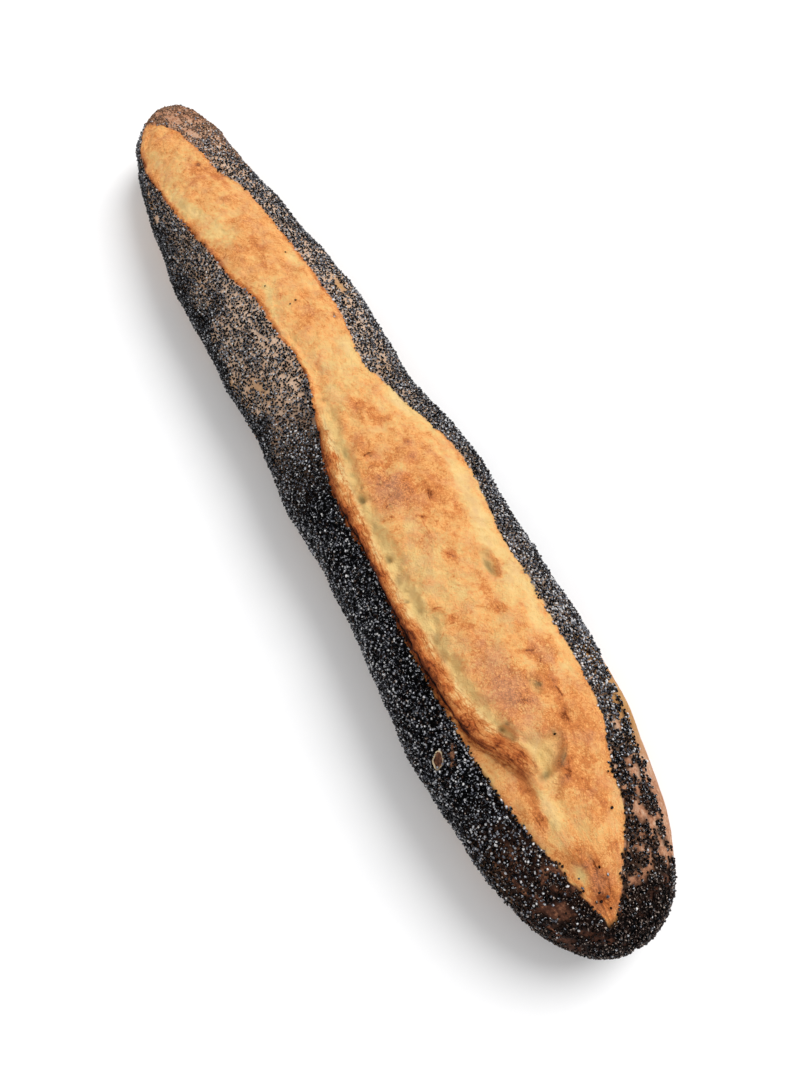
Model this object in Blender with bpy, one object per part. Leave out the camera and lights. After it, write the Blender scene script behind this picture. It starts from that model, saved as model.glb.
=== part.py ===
"""A baguette rolled in poppy seeds, baked on its flat base with one long burst cut.

The loaf is one solid: the crust's form with the burst, its raised lip, hollows and lumps,
and the largest poppy seeds fused to the shell on both sides of the burst.

Lengths here are in millimetres; MM turns the finished points into metres. The loaf lies
along X with its tapered end at -X and its blunt end at +X, its base flat on Z = 0.
A station is the distance along the loaf from the tapered end. An angle goes round the loaf
from its +Y side (0) over the top (90 degrees) to its -Y side (180 degrees).
"""

import math

import bmesh
import bpy
import numpy as np
from mathutils import Matrix, Vector
from mathutils.bvhtree import BVHTree

MM = 0.001

# Driving dimensions
LENGTH = 470.0
HEIGHT = 45.3                       # before the burst's dome, which adds about 2.5
TAPERED_END = 30.0                  # length over which each end rounds off
BLUNT_END = 40.0
END_POWER = 2.2                     # 2 rounds an end like an ellipse, more is blunter
SHOULDER_POWER = 2.15               # the same for a cross-section's upper half
BELLY_POWER = 2.7                   # and for its lower half
WAIST = 0.44                        # height of the widest line, as a share of the top
SINK = 2.5                          # depth by which the rounded belly is cut to a flat base
BOX_MIDDLE = 2.4                    # sideways middle of the bent loaf, moved to Y = 0

# Outline, each as (station, value): half width, sideways bend, height as a share of HEIGHT
HALF_WIDTH = [(0, 17), (20, 21.5), (45, 26), (75, 29.5), (110, 33.5), (150, 36.5), (195, 37.5),
              (235, 36), (275, 40), (315, 38.5), (355, 39.5), (395, 39), (420, 35.5), (445, 30.5),
              (470, 28)]
BEND = [(0, 4), (25, 0), (60, -2), (120, -2), (180, 1), (240, 1), (300, 3.5), (350, 2),
        (400, 0.5), (440, -1), (470, -2)]
TOP_SHARE = [(0, 0.74), (60, 0.92), (160, 1.0), (320, 1.0), (430, 0.95), (470, 0.84)]

# The burst, as (station, sideways place): its two edges and the crest of its raised lip
BURST_LEFT = [(20, -13), (30, -18), (45, -23.5), (60, -25.5), (85, -25), (120, -22), (140, -19),
              (160, -16.5), (180, -11.5), (200, -11), (220, -9), (235, -10), (250, -14.5),
              (270, -20), (290, -23), (320, -22.5), (345, -24.5), (370, -25), (400, -23.5),
              (425, -20), (445, -14.5), (460, -9.8)]
BURST_RIGHT = [(20, -12), (30, -8.5), (45, -1), (60, 1.5), (75, 4), (87, 6), (100, 12), (120, 15),
               (145, 18), (170, 19.5), (205, 20), (235, 17), (250, 21.5), (270, 27.5), (293, 33),
               (310, 31), (330, 28), (360, 27), (390, 24), (407, 21), (420, 14), (432, 11),
               (445, 1), (455, -6), (460, -9)]
LIP_LINE = [(20, -11.5), (60, -23.5), (120, -20.5), (160, -15), (200, -9), (225, -7.5), (250, -12),
            (270, -15.5), (290, -18), (312, -19), (335, -20), (355, -19.5), (380, -18.3), (393, -15.5),
            (401, -11.5), (409, -9), (425, -10), (460, -8.8)]
LIP_HEIGHT = [(60, 0.4), (225, 0.6), (270, 1.7), (330, 2.2), (385, 3.0), (404, 2.7), (414, 1.2),
              (430, 0.3)]
LIP_SIDE = [(60, 1.2), (225, 1.6), (250, 2.6), (275, 4.6), (310, 3.8), (335, 3.6), (355, 4.8),
            (385, 4.8), (405, 4.6), (420, 3.0), (440, 1.5)]     # width of the lip's outer side
LIP_OVERHANG = [(225, 0.0), (290, 0.6), (320, 0.5), (370, 1.3), (395, 1.8), (408, 1.2), (422, 0.0)]
TROUGH_DEPTH = [(60, 0.2), (225, 0.6), (265, 1.5), (330, 1.9), (390, 2.0), (415, 1.2), (435, 0.3)]
DOME_HEIGHT = [(20, 0.2), (80, 1.0), (160, 1.3), (225, 0.7), (290, 1.6), (370, 1.5), (425, 1.2),
               (455, 0.3)]
LIP_FALL = 3.4                      # width from the crest to the trough's bottom
TROUGH_RISE = 5.0                   # width from the trough's bottom to the dome
EDGE_WIDTH = 2.5                    # width over which the burst meets the shell
FULL_BURST = 30.0                   # a burst narrower than this has its steps squeezed with it

# Hollows of burst bubbles: station, sideways place, half length, half width, depth, turn
HOLLOWS = [
    (338.5, 15.5, 8.0, 3.4, 1.6, 0),
    (386, 6, 4.8, 2.6, 1.1, 0),
    (407.5, -1.3, 10.0, 4.8, 2.7, -48),
    (396, -10.8, 5.0, 2.8, 1.8, 25),
    (443, -11, 4.2, 2.4, 0.9, 10),
    (292, -13.8, 4.0, 1.9, 0.8, -10),
    (271, -10.5, 3.6, 1.8, 0.7, 0),
    (319.5, -16.2, 3.0, 1.7, 0.9, 0),
    (350, -12, 4.6, 3.8, 0.8, 0),
]
HOLLOW_FLOOR = 0.35                 # share of a hollow's reach that is its level floor

# Slow lumps all over the crust: size along, size round in degrees, phase, height
LUMPS = [(61, 95, 0.4, 0.45), (37, 63, 2.1, 0.3), (23, 41, 4.4, 0.2)]
LUMPS_FADE = 14.0                   # length over which the lumps die out towards each end
# Crags of the torn crumb inside the burst: size along, size across, phase, height
CRAGS = [(27, 19, 1.0, 0.35), (15, 12, 3.7, 0.3), (10, 14, 5.2, 0.2)]

# Mesh: rings of points along the loaf, columns of points round it
TAPERED_RINGS = 7
BLUNT_RINGS = 8
SLIM_RINGS = 25                     # rings along the slim half
WIDE_RINGS = 41                     # rings along the wide half, where the burst is rough
HALFWAY = 235.0
SHELL_COLUMNS = 6                   # columns on each side, from the widest line to the burst
DOME_COLUMNS = 6
ROLL_COLUMNS = [1.0, 0.85, 0.4, 0.0]    # places of points across the lip's outer side
BASE_ANGLES = [-14, -30, -48, -59.2, -80, -100, -120.8, -132, -150, -166]
FIRST_RING, LAST_RING = 15.0, 462.0     # the burst's columns keep their share past these
SMALLEST_STEP = 1e-3

# Poppy seeds
SEED_TRIES = 312
SEED_LENGTH = (1.5, 1.8)            # the largest grains and clumps of two
SEED_WIDTH = 0.82                   # as a share of the length
SEED_HEIGHT = 0.74
SEED_OVER = 0.08                    # height of a grain's middle over the crust, share of length
SEED_FREE = 1.6                     # bare margin beside the burst
SEED_ENDS = (9.0, 463.0)            # stations between which grains lie
SEED_ANGLES = (-8.0, 190.0)
SEED_DRAW = 41                      # seed of the random turns and sizes
STATION_STEP = 0.7548776662         # two steps that spread points evenly over a plane
ANGLE_STEP = 0.5698402910

# Bare crust, where the grains have rubbed off: station, angle, half length, half angle
BARE = [
    (430, 8, 34, 24),               # low on the +Y side of the blunt end
    (30, 60, 30, 45),               # tapered tip, +Y side
    (58, 196, 18, 22),              # low on the -Y side of the tapered end
    (182, 42, 6, 6),
    (391, 152, 4, 5),
]


def curve(knots, station):
    """Read a smooth curve through (station, value) knots."""
    places, values = np.array(knots, dtype=float).T
    slopes = np.gradient(values, places)
    station = np.clip(station, places[0], places[-1])
    k = np.clip(np.searchsorted(places, station) - 1, 0, len(places) - 2)
    span = places[k + 1] - places[k]
    t = (station - places[k]) / span
    start = (2 * t**3 - 3 * t**2 + 1) * values[k] + (t**3 - 2 * t**2 + t) * span * slopes[k]
    end = (3 * t**2 - 2 * t**3) * values[k + 1] + (t**3 - t**2) * span * slopes[k + 1]
    return start + end


def ramp(value, low, high):
    """Rise smoothly from 0 at low to 1 at high."""
    t = np.clip((value - low) / (high - low), 0.0, 1.0)
    return t * t * (3 - 2 * t)


def hump(value):
    """Fall smoothly from 1 at 0 to 0 at a distance of 1."""
    return np.cos(np.clip(np.abs(value), 0.0, 1.0) * math.pi / 2) ** 2


def roll(value):
    """Rise like a quarter round from 0 at -1 to 1 at 0 and beyond."""
    return np.sqrt(1 - np.clip(-value, 0.0, 1.0) ** 2)


def end_rounding(station):
    """Share of the full section that is left at a station of the rounded ends."""
    tapered = np.clip(station / TAPERED_END, 0.0, 1.0)
    blunt = np.clip((LENGTH - station) / BLUNT_END, 0.0, 1.0)
    tapered = (1 - (1 - tapered) ** END_POWER) ** (1 / END_POWER)
    blunt = (1 - (1 - blunt) ** END_POWER) ** (1 / END_POWER)
    return tapered * blunt


def plain_loaf(station, angle):
    """Points of the loaf without its relief."""
    share = end_rounding(station)
    top = HEIGHT * curve(TOP_SHARE, station)
    waist = WAIST * top
    over = (top - waist) * share**0.9
    under = (waist + SINK) * share**0.8
    across, up = np.cos(angle), np.sin(angle)
    power = np.where(up >= 0, 2 / SHOULDER_POWER, 2 / BELLY_POWER)
    side = curve(HALF_WIDTH, station) * share * np.sign(across) * np.abs(across) ** power
    rise = np.where(up >= 0, over, -under) * np.abs(up) ** power
    y = curve(BEND, station) + side
    z = np.maximum(waist + rise, 0.0)
    return np.stack(np.broadcast_arrays(station - LENGTH / 2, y, z), axis=-1)


def plain_normals(station, angle):
    """Directions that point straight out of the plain loaf."""
    small = 0.01
    along = plain_loaf(station + small, angle) - plain_loaf(station - small, angle)
    around = plain_loaf(station, angle + small) - plain_loaf(station, angle - small)
    normals = np.cross(around, along)
    return normals / np.maximum(np.linalg.norm(normals, axis=-1, keepdims=True), 1e-9)


def crags(station, y):
    """Rough height of the torn crumb."""
    total = 0.0
    for along, across, phase, height in CRAGS:
        bend = 0.35 * np.sin(2 * math.pi * station / (3 * along) + phase)
        wave = np.sin(2 * math.pi * (station / along + bend) + phase)
        total = total + height * wave * np.sin(2 * math.pi * (y / across - bend) + 2 * phase)
    return total


def relief(station, y):
    """Height of the crust over the plain loaf, and its shift sideways, on the upper side."""
    left, right = curve(BURST_LEFT, station), curve(BURST_RIGHT, station)
    squeeze = np.clip((right - left) / FULL_BURST, 0.05, 1.0)
    inside = ramp(y, left, left + EDGE_WIDTH * squeeze) * ramp(-y, -right, -right + EDGE_WIDTH * squeeze)
    share = np.clip((y - left) / np.maximum(right - left, 0.1), 0.0, 1.0)
    dome = curve(DOME_HEIGHT, station) * np.sin(math.pi * share) ** 0.8
    from_lip = (y - curve(LIP_LINE, station)) / squeeze
    outer = from_lip / curve(LIP_SIDE, station)
    lip = curve(LIP_HEIGHT, station) * roll(outer) * (1 - ramp(from_lip, 0, LIP_FALL))
    trough = curve(TROUGH_DEPTH, station) * np.where(
        from_lip < LIP_FALL, ramp(from_lip, 0.5, LIP_FALL),
        1 - ramp(from_lip, LIP_FALL, LIP_FALL + TROUGH_RISE))
    height = inside * (dome - trough + crags(station, y)) + lip
    for place, side, half_length, half_width, depth, turn in HOLLOWS:
        c, s = math.cos(math.radians(turn)), math.sin(math.radians(turn))
        u = ((station - place) * c + (y - side) * s) / half_length
        v = ((y - side) * c - (station - place) * s) / half_width
        height = height - depth * (1 - ramp(np.hypot(u, v), HOLLOW_FLOOR, 1.0))
    lean = np.where(outer < 0, hump(outer + 0.3), ramp(-from_lip, -LIP_FALL, 0) * hump(0.3))
    shift = -curve(LIP_OVERHANG, station) * lean
    ends = ramp(station, 8, 26) * ramp(-station, -464, -452)
    return height * ends, shift * ends


def lumps(station, angle):
    """Slow uneven swelling of the whole crust, none on the flat base."""
    total = 0.0
    for along, around, phase, height in LUMPS:
        wave = np.sin(2 * math.pi * station / along + phase)
        total = total + height * wave * np.cos(np.degrees(angle) * 2 * math.pi / around + 2 * phase)
    ends = ramp(station, 0, LUMPS_FADE) * ramp(LENGTH - station, 0, LUMPS_FADE)
    return total * ends * ramp(np.sin(angle), -0.6, -0.2)


def crust(station, angle):
    """Points of the finished crust."""
    station, angle = np.broadcast_arrays(station, angle)
    points = plain_loaf(station, angle)
    height, shift = relief(station, points[..., 1])
    upper = ramp(np.sin(angle), 0.05, 0.3)
    out = height * upper + lumps(station, angle)
    points = points + plain_normals(station, angle) * out[..., None]
    points[..., 1] += shift * upper
    points[..., 2] = np.maximum(points[..., 2], 0.0)
    return points


def placed(point):
    """A crust point in the part's own frame, in metres."""
    return Vector((point[0], point[1] - BOX_MIDDLE, point[2])) * MM


def angle_of(station, y):
    """Angle at which the plain loaf's upper side passes a sideways place."""
    width = curve(HALF_WIDTH, station) * end_rounding(station)
    share = np.clip((y - curve(BEND, station)) / width, -0.93, 0.93)
    return np.arccos(np.sign(share) * np.abs(share) ** (SHOULDER_POWER / 2))


def ring_stations():
    """Stations of the rings of points, closer where an end rounds off or the burst is rough."""
    turn = np.radians(np.linspace(0, 90, TAPERED_RINGS + 1)[1:])
    tapered = TAPERED_END * (1 - np.cos(turn) ** (2 / END_POWER))
    turn = np.radians(np.linspace(0, 90, BLUNT_RINGS + 1)[1:])
    blunt = LENGTH - BLUNT_END * (1 - np.cos(turn) ** (2 / END_POWER))
    slim = np.linspace(TAPERED_END, HALFWAY, SLIM_RINGS + 1)[1:-1]
    wide = np.linspace(HALFWAY, LENGTH - BLUNT_END, WIDE_RINGS + 1)[:-1]
    return np.concatenate([tapered, slim, wide, blunt[::-1]])


def column_angles(station):
    """Angles of a ring's points: they follow the burst's edges, lip, trough and dome."""
    held = float(np.clip(station, FIRST_RING, LAST_RING))
    left, right = float(curve(BURST_LEFT, held)), float(curve(BURST_RIGHT, held))
    middle = (left + right) / 2
    left, right = min(left, middle - 5), max(right, middle + 5)
    squeeze = min((right - left) / FULL_BURST, 1.0)
    side = float(curve(LIP_SIDE, held))
    crest = max(float(curve(LIP_LINE, held)), left + (side + 0.4) * squeeze)
    steps = [left] + [crest - share * side * squeeze for share in ROLL_COLUMNS]
    steps.append(crest + LIP_FALL * squeeze)
    foot = crest + (LIP_FALL + TROUGH_RISE) * squeeze
    steps += list(np.linspace(foot, right, DOME_COLUMNS))
    steps.append(right + EDGE_WIDTH * squeeze)
    burst = angle_of(held, np.array(steps))
    minus_side = np.linspace(math.pi, burst[0], SHELL_COLUMNS + 1)[:-1]
    plus_side = np.linspace(burst[-1], 0.0, SHELL_COLUMNS)[1:]
    return np.concatenate([minus_side, burst, plus_side, np.radians(BASE_ANGLES)])


def loaf_mesh():
    """Skin the rings of points into one closed mesh with a flat base."""
    bm = bmesh.new()
    stations = ring_stations()
    angles = np.array([column_angles(s) for s in stations])
    points = crust(stations[:, None], angles)
    rings = [[bm.verts.new(placed(p)) for p in ring] for ring in points]
    count = len(rings[0])
    for ring, following in zip(rings[:-1], rings[1:]):
        for k in range(count):
            n = (k + 1) % count
            bm.faces.new((ring[k], ring[n], following[n], following[k]))
    for ring, station in ((rings[0], 0.0), (rings[-1], LENGTH)):
        tip = bm.verts.new(placed(plain_loaf(np.array(station), np.array(0.0))))
        for k in range(count):
            bm.faces.new((ring[k], ring[(k + 1) % count], tip))
    bmesh.ops.recalc_face_normals(bm, faces=bm.faces)
    base = [f for f in bm.faces if all(v.co.z < SMALLEST_STEP * MM for v in f.verts)]
    bmesh.ops.dissolve_faces(bm, faces=base, use_verts=True)
    bmesh.ops.triangulate(bm, faces=[f for f in bm.faces if len(f.verts) == 4])
    return bm


def is_bare(station, angle):
    """Say whether a place on the shell has lost its grains."""
    degrees = math.degrees(angle)
    for place, middle, half_length, half_angle in BARE:
        if math.hypot((station - place) / half_length, (degrees - middle) / half_angle) < 1:
            return True
    return False


def seed_places():
    """Even spread of places on the seeded shell, as (station, angle)."""
    places = []
    low, high = SEED_ANGLES
    first, last = SEED_ENDS
    for k in range(SEED_TRIES):
        station = first + (last - first) * ((0.5 + k * STATION_STEP) % 1)
        angle = math.radians(low + (high - low) * ((0.5 + k * ANGLE_STEP) % 1))
        y = float(plain_loaf(np.array(station), np.array(angle))[1])
        left, right = float(curve(BURST_LEFT, station)), float(curve(BURST_RIGHT, station))
        inside = left - SEED_FREE < y < right + SEED_FREE and math.sin(angle) > 0
        if not inside and not is_bare(station, angle):
            places.append((station, angle))
    return places


def seed_object(name, near, faces, draw, collection):
    """One low grain, lying at a random turn on the face that is nearest to a point."""
    point, normal = faces.find_nearest(near)[:2]
    length = draw.uniform(*SEED_LENGTH)
    size = Matrix.Diagonal((length / 2, length * SEED_WIDTH / 2, length * SEED_HEIGHT / 2, 1))
    turn = Matrix.Rotation(draw.uniform(0, math.tau), 4, "Z")
    lie = normal.to_track_quat("Z", "Y").to_matrix().to_4x4()
    middle = Matrix.Translation(point + normal * length * SEED_OVER * MM)
    bm = bmesh.new()
    bmesh.ops.create_icosphere(bm, subdivisions=1, radius=1.0)
    bm.transform(middle @ Matrix.Scale(MM, 4) @ lie @ turn @ size)
    mesh = bpy.data.meshes.new(name)
    bm.to_mesh(mesh)
    bm.free()
    grain = bpy.data.objects.new(name, mesh)
    grain.hide_render = True
    collection.objects.link(grain)


def crust_material():
    """Baked crust between golden and brown, as dull as bread."""
    material = bpy.data.materials.new("baked_crust")
    material.use_nodes = True
    shader = material.node_tree.nodes["Principled BSDF"]
    shader.inputs["Base Color"].default_value = (0.55, 0.30, 0.13, 1.0)
    shader.inputs["Roughness"].default_value = 0.75
    shader.inputs["Metallic"].default_value = 0.0
    return material


def fuse_seeds(loaf, faces):
    """Join the grains to the loaf with one union, then remove the loose grains."""
    grains = bpy.data.collections.new("grains")
    bpy.context.scene.collection.children.link(grains)
    draw = np.random.default_rng(SEED_DRAW)
    for k, (station, angle) in enumerate(seed_places()):
        near = placed(crust(np.array(station), np.array(angle)))
        seed_object(f"grain_{k}", near, faces, draw, grains)
    union = loaf.modifiers.new("grains", "BOOLEAN")
    union.operation = "UNION"
    union.solver = "MANIFOLD"
    union.operand_type = "COLLECTION"
    union.collection = grains
    depsgraph = bpy.context.evaluated_depsgraph_get()
    fused = bpy.data.meshes.new_from_object(loaf.evaluated_get(depsgraph))
    loaf.modifiers.clear()
    loaf.data = fused
    for grain in list(grains.objects):
        bpy.data.objects.remove(grain)
    bpy.data.collections.remove(grains)


def main():
    """Build the loaf."""
    for old in list(bpy.data.objects):
        bpy.data.objects.remove(old)
    mesh = bpy.data.meshes.new("baguette")
    bm = loaf_mesh()
    bm.to_mesh(mesh)
    faces = BVHTree.FromBMesh(bm)
    bm.free()
    loaf = bpy.data.objects.new("baguette", mesh)
    bpy.context.scene.collection.objects.link(loaf)
    loaf.data.materials.append(crust_material())
    fuse_seeds(loaf, faces)
    print("triangles:", sum(len(p.vertices) - 2 for p in loaf.data.polygons))


main()
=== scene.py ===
"""The looks of a baguette rolled in poppy seeds: crust, torn burst and its coat of seeds.

The loaf's form repeats the named sizes of its solid and adds the fine relief: torn crumb,
flakes, blisters, a ragged lip and pores. Lengths are in millimetres until MM turns the
finished points into metres. A station is the distance along the loaf from its tapered end
(-X). An angle goes round the loaf from its +Y side (0) over the top (90 degrees) to its -Y
side. A side is the place across the loaf, before the loaf's box is centred on Y = 0.
"""

import logging
import math
from dataclasses import dataclass
from enum import Enum
from functools import cache

import bpy
import numpy as np
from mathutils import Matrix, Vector


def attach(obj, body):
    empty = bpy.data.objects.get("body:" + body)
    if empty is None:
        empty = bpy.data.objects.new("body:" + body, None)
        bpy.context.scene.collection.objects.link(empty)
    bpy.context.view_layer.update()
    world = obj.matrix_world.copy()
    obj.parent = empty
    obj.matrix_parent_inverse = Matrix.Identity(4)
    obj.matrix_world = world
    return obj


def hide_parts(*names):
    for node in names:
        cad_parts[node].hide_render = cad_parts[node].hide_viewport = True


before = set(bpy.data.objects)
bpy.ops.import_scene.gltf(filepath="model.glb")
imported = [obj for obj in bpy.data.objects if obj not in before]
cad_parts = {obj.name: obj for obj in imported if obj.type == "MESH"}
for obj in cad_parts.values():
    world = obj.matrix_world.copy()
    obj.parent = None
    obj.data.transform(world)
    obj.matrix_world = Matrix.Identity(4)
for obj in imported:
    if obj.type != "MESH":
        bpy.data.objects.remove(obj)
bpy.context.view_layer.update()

MM = 0.001
LOAF_NODE = "baguette"
Array = np.ndarray
Pair = tuple[float, float]
Triple = tuple[float, float, float]
Span = tuple[float, float, float, float]    # places where a value starts to rise, is full, wanes and ends
Colour = tuple[float, float, float, float]
Shades = tuple[tuple[float, Colour], ...]   # colours at places from 0 to 1
Socket = bpy.types.NodeSocket
Node = bpy.types.Node
Piece = bpy.types.Object
log = logging.getLogger("baguette")


# ---------------- plain maths

def ramp(value: Array, low: Array, high: Array) -> Array:
    """Rise smoothly from 0 at low to 1 at high."""
    t = np.clip((value - low) / (high - low), 0.0, 1.0)
    return t * t * (3 - 2 * t)


def fall(value: Array, low: Array, high: Array) -> Array:
    """Fall smoothly from 1 at low to 0 at high."""
    return ramp(-value, -high, -low)


def within(value: Array, span: Span) -> Array:
    """Rise from 0 to 1 over the first two places of a span, and fall back over the last two."""
    start, full, wane, end = span
    return ramp(value, start, full) * fall(value, wane, end)


def hump(value: Array) -> Array:
    """Fall smoothly from 1 at 0 to 0 at a distance of 1."""
    return np.cos(np.clip(np.abs(value), 0.0, 1.0) * math.pi / 2) ** 2


def roll(value: Array) -> Array:
    """Rise like a quarter round from 0 at -1 to 1 at 0 and beyond."""
    return np.sqrt(1 - np.clip(-value, 0.0, 1.0) ** 2)


def unit(vectors: Array) -> Array:
    """Directions of length 1."""
    return vectors / np.maximum(np.linalg.norm(vectors, axis=-1, keepdims=True), 1e-9)


def linear(red: int, green: int, blue: int) -> Colour:
    """A screen colour of 0 to 255 as the linear colour that shaders take.

    Args:
        red: its red part.
        green: its green part.
        blue: its blue part.

    Returns:
        Its linear parts, with 1 for its alpha.
    """
    parts = [c / 255 for c in (red, green, blue)]
    parts = [c / 12.92 if c <= 0.04045 else ((c + 0.055) / 1.055) ** 2.4 for c in parts]
    return (*parts, 1.0)


def turned(along: Array, across: Array, degrees: float) -> tuple[Array, Array]:
    """Read distances along and across the loaf in directions that are turned by an angle."""
    c, s = math.cos(math.radians(degrees)), math.sin(math.radians(degrees))
    return along * c + across * s, across * c - along * s


def scatter(x: Array, y: Array, z: Array, draw: int) -> Array:
    """Fixed random value between -1 and 1 for each corner of a lattice.

    Args:
        x: the corners' whole numbers along the first axis.
        y: along the second.
        z: along the third.
        draw: the number of the random draw.

    Returns:
        The values.
    """
    mixed = (x * 374761393 + y * 668265263 + z * 1440662683 + draw * 974634777) & 0xFFFFFFFF
    mixed = ((mixed ^ (mixed >> 13)) * 1274126177) & 0xFFFFFFFF
    mixed = ((mixed ^ (mixed >> 16)) * 2246822519) & 0xFFFFFFFF
    return (mixed ^ (mixed >> 15)) / 2147483647.5 - 1.0


@dataclass(frozen=True)
class Knots:
    """Values along the loaf, as (station, value), joined by a smooth curve."""

    points: tuple[Pair, ...]

    def at(self, station: Array) -> Array:
        """Read the curve.

        Args:
            station: places along the loaf.

        Returns:
            The value at each place, held level past the first and last knot.
        """
        places, values = np.array(self.points, dtype=float).T
        slopes = np.gradient(values, places)
        station = np.clip(station, places[0], places[-1])
        k = np.clip(np.searchsorted(places, station) - 1, 0, len(places) - 2)
        span = places[k + 1] - places[k]
        t = (station - places[k]) / span
        start = (2 * t**3 - 3 * t**2 + 1) * values[k] + (t**3 - 2 * t**2 + t) * span * slopes[k]
        end = (3 * t**2 - 2 * t**3) * values[k + 1] + (t**3 - t**2) * span * slopes[k + 1]
        return start + end


@dataclass(frozen=True)
class BothSides:
    """Curves along the loaf for the two sides of its burst: left is -Y and right is +Y."""

    left: Knots
    right: Knots

    def at(self, station: Array, is_left: Array) -> Array:
        """Read the left curve where is_left says so, and the right one elsewhere."""
        return np.where(is_left, self.left.at(station), self.right.at(station))


@dataclass(frozen=True)
class Noise:
    """Smooth random heights between -1 and 1, the same on every run."""

    size: float
    draw: int
    octaves: int = 1
    roughness: float = 0.5

    def _layer(self, points: Array, size: float, draw: int) -> Array:
        """One octave of noise.

        Args:
            points: places in millimetres.
            size: distance between its random values.
            draw: the number of its random draw.

        Returns:
            Its heights.
        """
        spot = points / size + draw * 17.37
        cell = np.floor(spot).astype(np.int64)
        t = spot - cell
        t = t * t * t * (t * (t * 6 - 15) + 10)
        total = np.zeros(points.shape[:-1])
        for k in range(8):
            step = np.array([k & 1, (k >> 1) & 1, k >> 2])
            weight = np.prod(np.where(step, t, 1 - t), axis=-1)
            x, y, z = np.moveaxis(cell + step, -1, 0)
            total += weight * scatter(x, y, z, draw)
        return total

    def at(self, points: Array) -> Array:
        """Read the noise.

        Args:
            points: places in millimetres, three numbers each.

        Returns:
            The sum of the octaves, scaled to stay within about -1 and 1.
        """
        total, share, weight, size = 0.0, 0.0, 1.0, self.size
        for k in range(self.octaves):
            total = total + weight * self._layer(points, size, self.draw + 31 * k)
            share += weight
            weight *= self.roughness
            size *= 0.5
        return total / share


@dataclass(frozen=True)
class Pores:
    """Small round holes scattered over the surface as seen from above."""

    spacing: float
    radius: Pair
    share: float
    draw: int
    stray: float = 0.4  # how far a hole strays from its cell's middle, in cells
    floor: float = 0.2  # share of its radius over which a hole is deepest

    def at(self, points: Array) -> Array:
        """Depth of the hole at each place.

        Args:
            points: places in millimetres, three numbers each.

        Returns:
            0 between the holes, and up to 1 in the middle of the largest.
        """
        spot = points[..., :2] / self.spacing
        cell = np.floor(spot).astype(np.int64)
        deepest = np.zeros(points.shape[:-1])
        small, large = self.radius
        for k in range(9):
            x, y = cell[..., 0] + k % 3 - 1, cell[..., 1] + k // 3 - 1
            chance, size, across, along = (scatter(x, y, 0 * x + n, self.draw) for n in range(4))
            size = (size + 1) / 2
            reach = (small + (large - small) * size) / self.spacing
            away = np.hypot(spot[..., 0] - x - 0.5 - self.stray * along,
                            spot[..., 1] - y - 0.5 - self.stray * across)
            there = (chance + 1) / 2 < self.share
            depth = there * (0.5 + 0.5 * size) * (1 - ramp(away / reach, self.floor, 1.0))
            deepest = np.maximum(deepest, depth)
        return deepest


@dataclass(frozen=True)
class Patch:
    """An oval place on the upper side: a hollow, a browner spot or a bare spot."""

    station: float
    side: float
    half_length: float
    half_width: float
    strength: float
    turn: float = 0.0

    def reach(self, station: Array, side: Array) -> Array:
        """Distance from the middle, as 0 there and 1 at the rim."""
        along, across = turned(station - self.station, side - self.side, self.turn)
        return np.hypot(along / self.half_length, across / self.half_width)

    def share(self, station: Array, side: Array) -> Array:
        """Strength that fades smoothly from the middle to nothing at the rim."""
        return self.strength * hump(self.reach(station, side))

    def bowl(self, station: Array, side: Array, floor: float) -> Array:
        """Strength that is level over a floor's share of the reach, then falls steeply."""
        return self.strength * (1 - ramp(self.reach(station, side), floor, 1.0))


def patches(*rows: tuple[float, ...]) -> tuple[Patch, ...]:
    """Make patches from rows of station, side, half length, half width, strength and turn."""
    return tuple(Patch(*row) for row in rows)


@dataclass(frozen=True)
class Mark:
    """A thin crease in the torn crumb, bent like a bow, painted darker: partly its browned edge, partly
    painted shade under a lifted film.
    """

    station: float
    side: float
    half_length: float
    bow: float
    turn: float
    strength: float
    solid: float = 0.5  # share of its length over which it keeps its strength
    width: Pair = (0.8, 1.3)  # distances over which its strength fades sideways

    def reach(self, station: Array, side: Array) -> tuple[Array, Array]:
        """How far places are from the crease.

        Args:
            station: places along the loaf.
            side: places across it.

        Returns:
            The distance from the crease, with a sign for its side, and its strength there.
        """
        along, away = turned(station - self.station, side - self.side, self.turn)
        along = along / self.half_length
        away = away - self.bow * (1 - along**2)
        strength = self.strength * (1 - ramp(np.abs(along), self.solid, 1.0))
        return away, strength * (1 - ramp(np.abs(away), *self.width))


def crease_marks(*rows: tuple[float, ...]) -> tuple[Mark, ...]:
    """Make creases from rows of station, side, half length, bow, turn and strength."""
    return tuple(Mark(*row) for row in rows)


# ---------------- the loaf's form

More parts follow.
